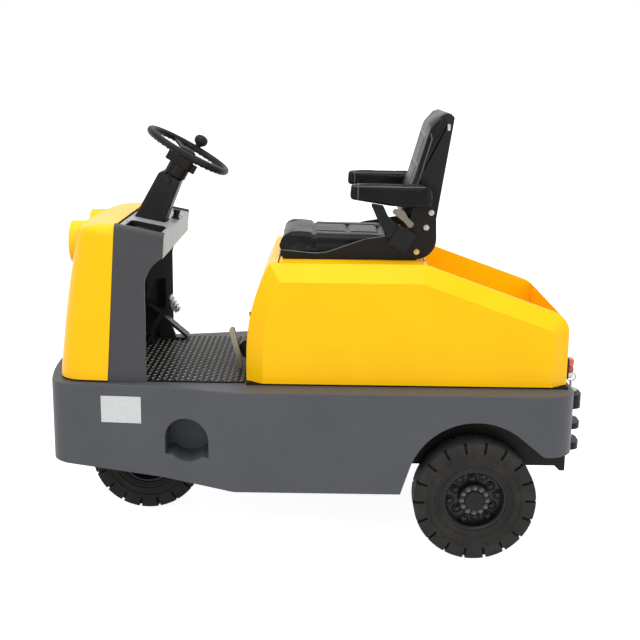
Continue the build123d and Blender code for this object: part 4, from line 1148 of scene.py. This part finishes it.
@dataclass
class SeatTrim:
    """Bolts and edge trim of the seat's side plates, the trim's grey a painted highlight along their top
    edge, and the back shell's rolled top with its clips.
    """

    face: float = 255.0
    plate_mid: float = 252.0
    bright: tuple[Place, ...] = ((177.0, 1298.0), (195.0, 1241.0))
    plated: tuple[Place, ...] = ((230.0, 1146.0),)
    across: float = 0.013
    plate_edge: tuple[Place, ...] = (
        (757, 1140), (753, 1147), (715, 1144), (595, 1132), (512, 1163), (428, 1193), (365, 1202),
        (290, 1216),
    )
    trim: float = 0.0024
    top: Place = (116.0, 1661.0)
    top_roll: float = 0.0105
    top_inset: float = 4.0
    shell_head: float = 1.600
    clip: Point = (0.011, 0.004, 0.024)
    clip_place: Place = (119.0, 1620.0)

    def build(self) -> None:
        """Sets the bolts, the plates' edge trim in painted-highlight grey, the shell's rolled top and its
        clips.
        """
        for name, places, finish in (("bright", self.bright, STEEL), ("plated", self.plated, ZINC)):
            draft = Draft()
            for side, facing in ((Side.LEFT, Facing.LEFT), (Side.RIGHT, Facing.RIGHT)):
                for x, z in places:
                    draft.bolt(self.across, facing.at(spot(x, side.value * self.face, z)))
            draft.done(f"seat_bolts_{name}", finish, "seat_lid")
        trim, roll, clips = Draft(), Draft(), Draft()
        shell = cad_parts["seat_back_shell"].data.vertices
        half = 1000 * max(v.co.y for v in shell if v.co.z > self.shell_head)
        for side in Side:
            # A thin grey tube along each plate's top edge: a painted highlight of that edge.
            trim.tube([spot(x, side.value * self.plate_mid, z) for x, z in self.plate_edge], self.trim)
            place = spot(self.clip_place[0], side.value * half, self.clip_place[1])
            clips.box(self.clip, Matrix.Translation(place), 0.0012)
        reach = half - self.top_inset
        ends = [spot(self.top[0], y, self.top[1]) for y in (-reach, -half / 3, half / 3, reach)]
        roll.tube(ends, self.top_roll)
        trim.done("seat_plate_edge_highlight", PIPING_HIGHLIGHT, "seat_lid")
        roll.done("seat_shell_roll", PLASTIC, "seat_lid")
        clips.done("seat_shell_clips", STEEL, "seat_lid")


@dataclass(frozen=True)
class Channel:
    """A sewn line pressed into a pad, drawn across the two directions its face spans, in metres."""

    line: tuple[Place, ...]
    width: float = 0.0065
    depth: float = 0.010

    def press(self, u: float, v: float) -> float:
        """How deep the line presses at a point of the face.

        Args:
            u: First direction.
            v: Second direction.

        Returns:
            The depth in metres.
        """
        here = Vector((u, v))
        nearest = math.inf
        for start, end in zip(self.line, self.line[1:]):
            first, run = Vector(start), Vector(end) - Vector(start)
            share = min(1.0, max(0.0, (here - first).dot(run) / run.length_squared))
            nearest = min(nearest, (here - first - share * run).length)
        return self.depth * math.exp(-((nearest / self.width) ** 2))


class PadFace(Enum):
    """The face of a pad that is sewn: the axis it looks along and the two that it spans."""

    TOP = (2, 0, 1)
    FRONT = (0, 1, 2)


@dataclass
class Pad:
    """A vinyl pad: its solid drawn in, blown up as cloth, then sewn and piped."""

    node: str
    body: str
    face: PadFace
    fill: float
    drawn_in: float = 0.006
    swell: float = 0.009
    voxel: float = 0.006
    pressure: float = 4.0
    last_frame: int = 20
    rests_below: float = 0.012
    crown: float = 0.0
    head_from: float = 10.0
    head_over: float = 0.060
    head_move: Point = (-0.010, 0.0, 0.011)
    channels: tuple[Channel, ...] = ()
    piping: tuple[tuple[Vector, ...], ...] = ()
    pipe: float = 0.0030
    smoothing: int = 3
    sewn_from: float = 0.2
    sewn_rise: float = 2.5

    @staticmethod
    def _settle(piece: bpy.types.Object) -> None:
        """Replaces a piece's mesh by what its modifiers make of it."""
        mesh = bpy.data.meshes.new_from_object(piece.evaluated_get(bpy.context.evaluated_depsgraph_get()))
        piece.modifiers.clear()
        piece.data = mesh

    def _start(self) -> bpy.types.Object:
        """Copies the solid, evens its mesh and draws it in, but not where it rests.

        Returns:
            The pad before it swells.
        """
        shape = bmesh.new()
        shape.from_mesh(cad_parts[self.node].data)
        bmesh.ops.remove_doubles(shape, verts=shape.verts, dist=1e-5)
        mesh = bpy.data.meshes.new(self.node + "_pad")
        shape.to_mesh(mesh)
        shape.free()
        piece = bpy.data.objects.new(self.node + "_pad", mesh)
        bpy.context.scene.collection.objects.link(piece)
        even = piece.modifiers.new("even", "REMESH")
        even.mode = "VOXEL"
        even.voxel_size = self.voxel
        self._settle(piece)
        shape = bmesh.new()
        shape.from_mesh(piece.data)
        for _ in range(self.smoothing):
            bmesh.ops.smooth_vert(
                shape, verts=shape.verts, factor=0.5, use_axis_x=True, use_axis_y=True, use_axis_z=True
            )
        shape.normal_update()
        out = self.face.value[0]
        half = max(abs(v.co.y) for v in shape.verts)
        for vert, normal in [(v, v.normal.copy()) for v in shape.verts]:
            vert.co -= self.drawn_in * min(1.0, max(0.0, 1 + 2 * normal[out])) * normal
            vert.co[out] -= self.crown * max(0.0, normal[out]) * abs(vert.co.y / half) ** 3
            head = max(0.0, (vert.co.z - self.head_from) / self.head_over) ** 2
            vert.co += min(1.0, head) * Vector(self.head_move)
        shape.to_mesh(piece.data)
        shape.free()
        return piece

    def _inflate(self, piece: bpy.types.Object) -> None:
        """Blows the pad up as cloth, held where it rests, no further than its swell.

        Args:
            piece: The drawn-in pad.
        """
        start = [v.co.copy() for v in piece.data.vertices]
        out = self.face.value[0]
        rest_level = min(co[out] for co in start) + self.rests_below
        held = piece.vertex_groups.new(name="rests")
        held.add([index for index, co in enumerate(start) if co[out] < rest_level], 1.0, "REPLACE")
        cloth = piece.modifiers.new("swell", "CLOTH")
        cloth.settings.vertex_group_mass = "rests"
        cloth.settings.use_pressure = True
        cloth.settings.uniform_pressure_force = self.pressure
        cloth.settings.effector_weights.gravity = 0.0
        for number in range(1, self.last_frame + 1):
            bpy.context.scene.frame_set(number)
        self._settle(piece)
        bpy.context.scene.frame_set(1)
        for vert, old in zip(piece.data.vertices, start):
            move = vert.co - old
            vert.co = old + move * min(1.0, self.swell / max(move.length, 1e-9))

    def _sew(self, piece: bpy.types.Object) -> None:
        """Presses the sewn channels into the pad's face.

        Args:
            piece: The swollen pad.
        """
        out, first, second = self.face.value
        for vert, normal in [(v, v.normal.copy()) for v in piece.data.vertices]:
            if normal[out] > self.sewn_from:
                depth = max(c.press(vert.co[first], vert.co[second]) for c in self.channels)
                vert.co -= min(1.0, self.sewn_rise * (normal[out] - self.sewn_from)) * depth * normal

    def _trim(self, piece: bpy.types.Object) -> None:
        """Lays the piping on the pad's surface, its grey a painted highlight on the black vinyl.

        Args:
            piece: The sewn pad.
        """
        tree = surface(piece.data)
        draft = Draft()
        for line in self.piping:
            draft.tube([tree.find_nearest(point)[0] for point in line], self.pipe)
        draft.done(self.node + "_piping", PIPING_HIGHLIGHT, self.body)

    def build(self) -> None:
        """Makes the pad and stands it for its node."""
        piece = self._start()
        self._inflate(piece)
        if self.channels:
            self._sew(piece)
        piece.data.materials.clear()
        piece.data.materials.append(SHELF.get(VINYL))
        piece.data.shade_smooth()
        soft = piece.modifiers.new("soft", "SUBSURF")
        soft.levels = soft.render_levels = 1
        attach(piece, self.body)
        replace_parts(piece, self.node)
        if self.piping:
            self._trim(piece)
        LOG.info("%s: %d faces", piece.name, len(piece.data.polygons))


def dense(points: Sequence[Vector], pieces: int = 8) -> tuple[Vector, ...]:
    """Divides each run of a line, so that it can lie down on a curved pad.

    Args:
        points: The line.
        pieces: Parts of each run.

    Returns:
        The divided line.
    """
    line = [a.lerp(b, k / pieces) for a, b in zip(points, points[1:]) for k in range(pieces)]
    return (*line, points[-1])


def both_sides(points: Sequence[Point]) -> tuple[tuple[Vector, ...], ...]:
    """A line in millimetres and its mirror image on the other side, divided for laying down."""
    return tuple(dense([spot(x, side.value * y, z) for x, y, z in points]) for side in Side)


def cushion() -> Pad:
    """The seat cushion: front roll and two sewn pads between bolsters."""
    roll, between, back = (spot(x, 0, 0).x for x in (627.0, 493.0, 366.0))
    edge, side = 0.112, 0.225
    across = [Channel(((x, -edge), (x, edge)), depth=0.012) for x in (between, back)]
    along = [Channel(((back, s.value * edge), (roll, s.value * edge)), depth=0.012) for s in Side]
    front = Channel(((roll, -side), (roll, side)), depth=0.012)
    return Pad("seat_cushion", "seat_lid", PadFace.TOP, fill=0.75, channels=(*across, *along, front))


def backrest() -> Pad:
    """The backrest: crowned front with a sewn middle and piped edges."""
    low, high, edge = 1.36, 1.58, 0.115
    across = [Channel(((-edge, z), (edge, z)), depth=0.004) for z in (low, (low + high) / 2, high)]
    along = [Channel(((s.value * edge, low), (s.value * edge, high)), depth=0.004) for s in Side]
    pipe = ((258, 240, 1370), (247, 240, 1419), (222, 240, 1533), (205, 240, 1596))
    return Pad(
        "seat_backrest", "seat_lid", PadFace.FRONT, fill=0.75, crown=0.010, swell=0.013, head_from=1.600,
        channels=(*across, *along), piping=both_sides(pipe),
    )


def armrest(side: Side) -> Pad:
    """One armrest: a tight pad with piping round its top edges and a seam near its front end."""
    node = f"armrest_{side.name.lower()}"
    low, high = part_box(node)
    rear, front, seam = low.x + 0.03, high.x - 0.012, high.x - 0.030
    top, foot, edge, corner = high.z - 0.012, low.z + 0.02, 0.001, 0.010
    edges = [
        dense([Vector((rear, y, top)), Vector((front, y, top))]) for y in (low.y + edge, high.y - edge)
    ]
    hoop = [
        (low.y, foot), (low.y, top), (low.y + corner, high.z),
        (high.y - corner, high.z), (high.y, top), (high.y, foot),
    ]
    edges.append(dense([Vector((seam, y, z)) for y, z in hoop]))
    return Pad(
        node, node, PadFace.TOP, fill=0.9, drawn_in=0.003, swell=0.004, voxel=0.004, rests_below=0.004,
        piping=tuple(edges), pipe=0.0022,
    )


ASSEMBLIES: tuple[Any, ...] = (
    TreadFloor(),
    Tyre("front_tyre", "front_wheel"),
    Tyre("rear_tyre_left", "rear_wheel_left"),
    Tyre("rear_tyre_right", "rear_wheel_right"),
    RearWheelBolts(Side.LEFT),
    RearWheelBolts(Side.RIGHT),
    Headlamps(),
    TailLamps(),
    BlankLabel(),
    SteeringGrip(),
    ConsoleFittings(),
    BrakeCover(),
    BatteryTop(),
    PinRing(),
    SeatTrim(),
    cushion(),
    backrest(),
    armrest(Side.LEFT),
    armrest(Side.RIGHT),
)


@dataclass
class Studio:
    """Floor, soft light and the photograph's camera."""

    focal_px: float = 1101.0
    image_px: float = 640.0
    sensor_mm: float = 36.0
    eye: Point = (-0.017, 4.456, 1.825)
    yaw_deg: float = 0.35
    pitch_deg: float = 12.78
    roll_deg: float = 0.70
    floor_size: float = 60.0
    glow: float = 0.89
    aim: Point = (0.0, 0.0, 0.8)
    lamps: tuple[tuple[str, Point, float, float], ...] = (
        ("overhead", (0.3, 0.8, 4.2), 4.0, 76.0),
        ("front_left", (2.2, 4.5, 2.6), 2.5, 42.0),
        ("rear_fill", (-3.2, 3.0, 2.4), 2.5, 28.0),
    )

    def camera(self) -> None:
        """Sets the camera that the photograph was fitted with."""
        data = bpy.data.cameras.new("photo_camera")
        data.sensor_width = self.sensor_mm
        data.lens = self.focal_px / self.image_px * self.sensor_mm
        data.clip_end = 200
        holder = bpy.data.objects.new("photo_camera", data)
        yaw, pitch, roll = (math.radians(v) for v in (self.yaw_deg, self.pitch_deg, self.roll_deg))
        flat = math.cos(pitch)
        ahead = Vector((math.sin(yaw) * flat, -math.cos(yaw) * flat, -math.sin(pitch)))
        right = Vector((-math.cos(yaw), -math.sin(yaw), 0))
        up = right.cross(ahead)
        turned_right = right * math.cos(roll) + up * math.sin(roll)
        turned_up = up * math.cos(roll) - right * math.sin(roll)
        turn = Matrix((turned_right, turned_up, -ahead)).transposed().to_4x4()
        holder.matrix_world = Matrix.Translation(self.eye) @ turn
        bpy.context.scene.collection.objects.link(holder)
        bpy.context.scene.camera = holder

    def lamp(self, name: str, place: Point, size: float, power: float) -> None:
        """Adds a soft square lamp.

        Args:
            name: The lamp's name.
            place: Where it hangs.
            size: Side length.
            power: Watts.
        """
        data = bpy.data.lights.new(name, "AREA")
        data.shape = "SQUARE"
        data.size = size
        data.energy = power
        holder = bpy.data.objects.new(name, data)
        towards = Vector(self.aim) - Vector(place)
        holder.rotation_euler = towards.to_track_quat("-Z", "Y").to_euler()
        holder.location = place
        bpy.context.scene.collection.objects.link(holder)

    def world(self) -> None:
        """Plain white surroundings at strength 1."""
        world = bpy.data.worlds.new("studio")
        bpy.context.scene.world = world
        world.use_nodes = True
        back = next(n for n in world.node_tree.nodes if n.type == "BACKGROUND")
        back.inputs["Color"].default_value = (1, 1, 1, 1)
        back.inputs["Strength"].default_value = 1.0

    def floor(self) -> None:
        """A pale floor that keeps the shadow."""
        shape = bmesh.new()
        bmesh.ops.create_grid(shape, x_segments=1, y_segments=1, size=self.floor_size)
        mesh = bpy.data.meshes.new("studio_floor")
        shape.to_mesh(mesh)
        shape.free()
        floor = bpy.data.objects.new("studio_floor", mesh)
        bpy.context.scene.collection.objects.link(floor)
        shader = Shader("studio_floor")
        shader.fix(Roughness=0.9, Specular_IOR_Level=0.0, Emission_Strength=1.0)
        shader.feed("Base Color", shader.mix(shader.noise(2.0), (0.5, 0.5, 0.5), (0.53, 0.53, 0.53)))
        path = "ShaderNodeLightPath"
        seen = shader.node(path, {}, {}, "Is Camera Ray")
        for kind in ("Is Glossy Ray", "Is Transmission Ray"):
            seen = seen.most(shader.node(path, {}, {}, kind))
        shader.feed("Emission Color", shader.mix(seen, (0.0, 0.0, 0.0), (self.glow,) * 3))
        mesh.materials.append(shader.material)

    def build(self) -> None:
        """Sets up the whole studio."""
        self.camera()
        self.world()
        for name, place, size, power in self.lamps:
            self.lamp(name, place, size, power)
        self.floor()
        bpy.context.scene.view_settings.view_transform = "Standard"


def main() -> None:
    """Builds everything in order."""
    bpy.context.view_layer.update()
    SHELF.dress_nodes()
    LOG.info("dressed %d solids", len(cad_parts))
    for assembly in ASSEMBLIES:
        assembly.build()
    Studio().build()


if __name__ == "__main__":
    main()
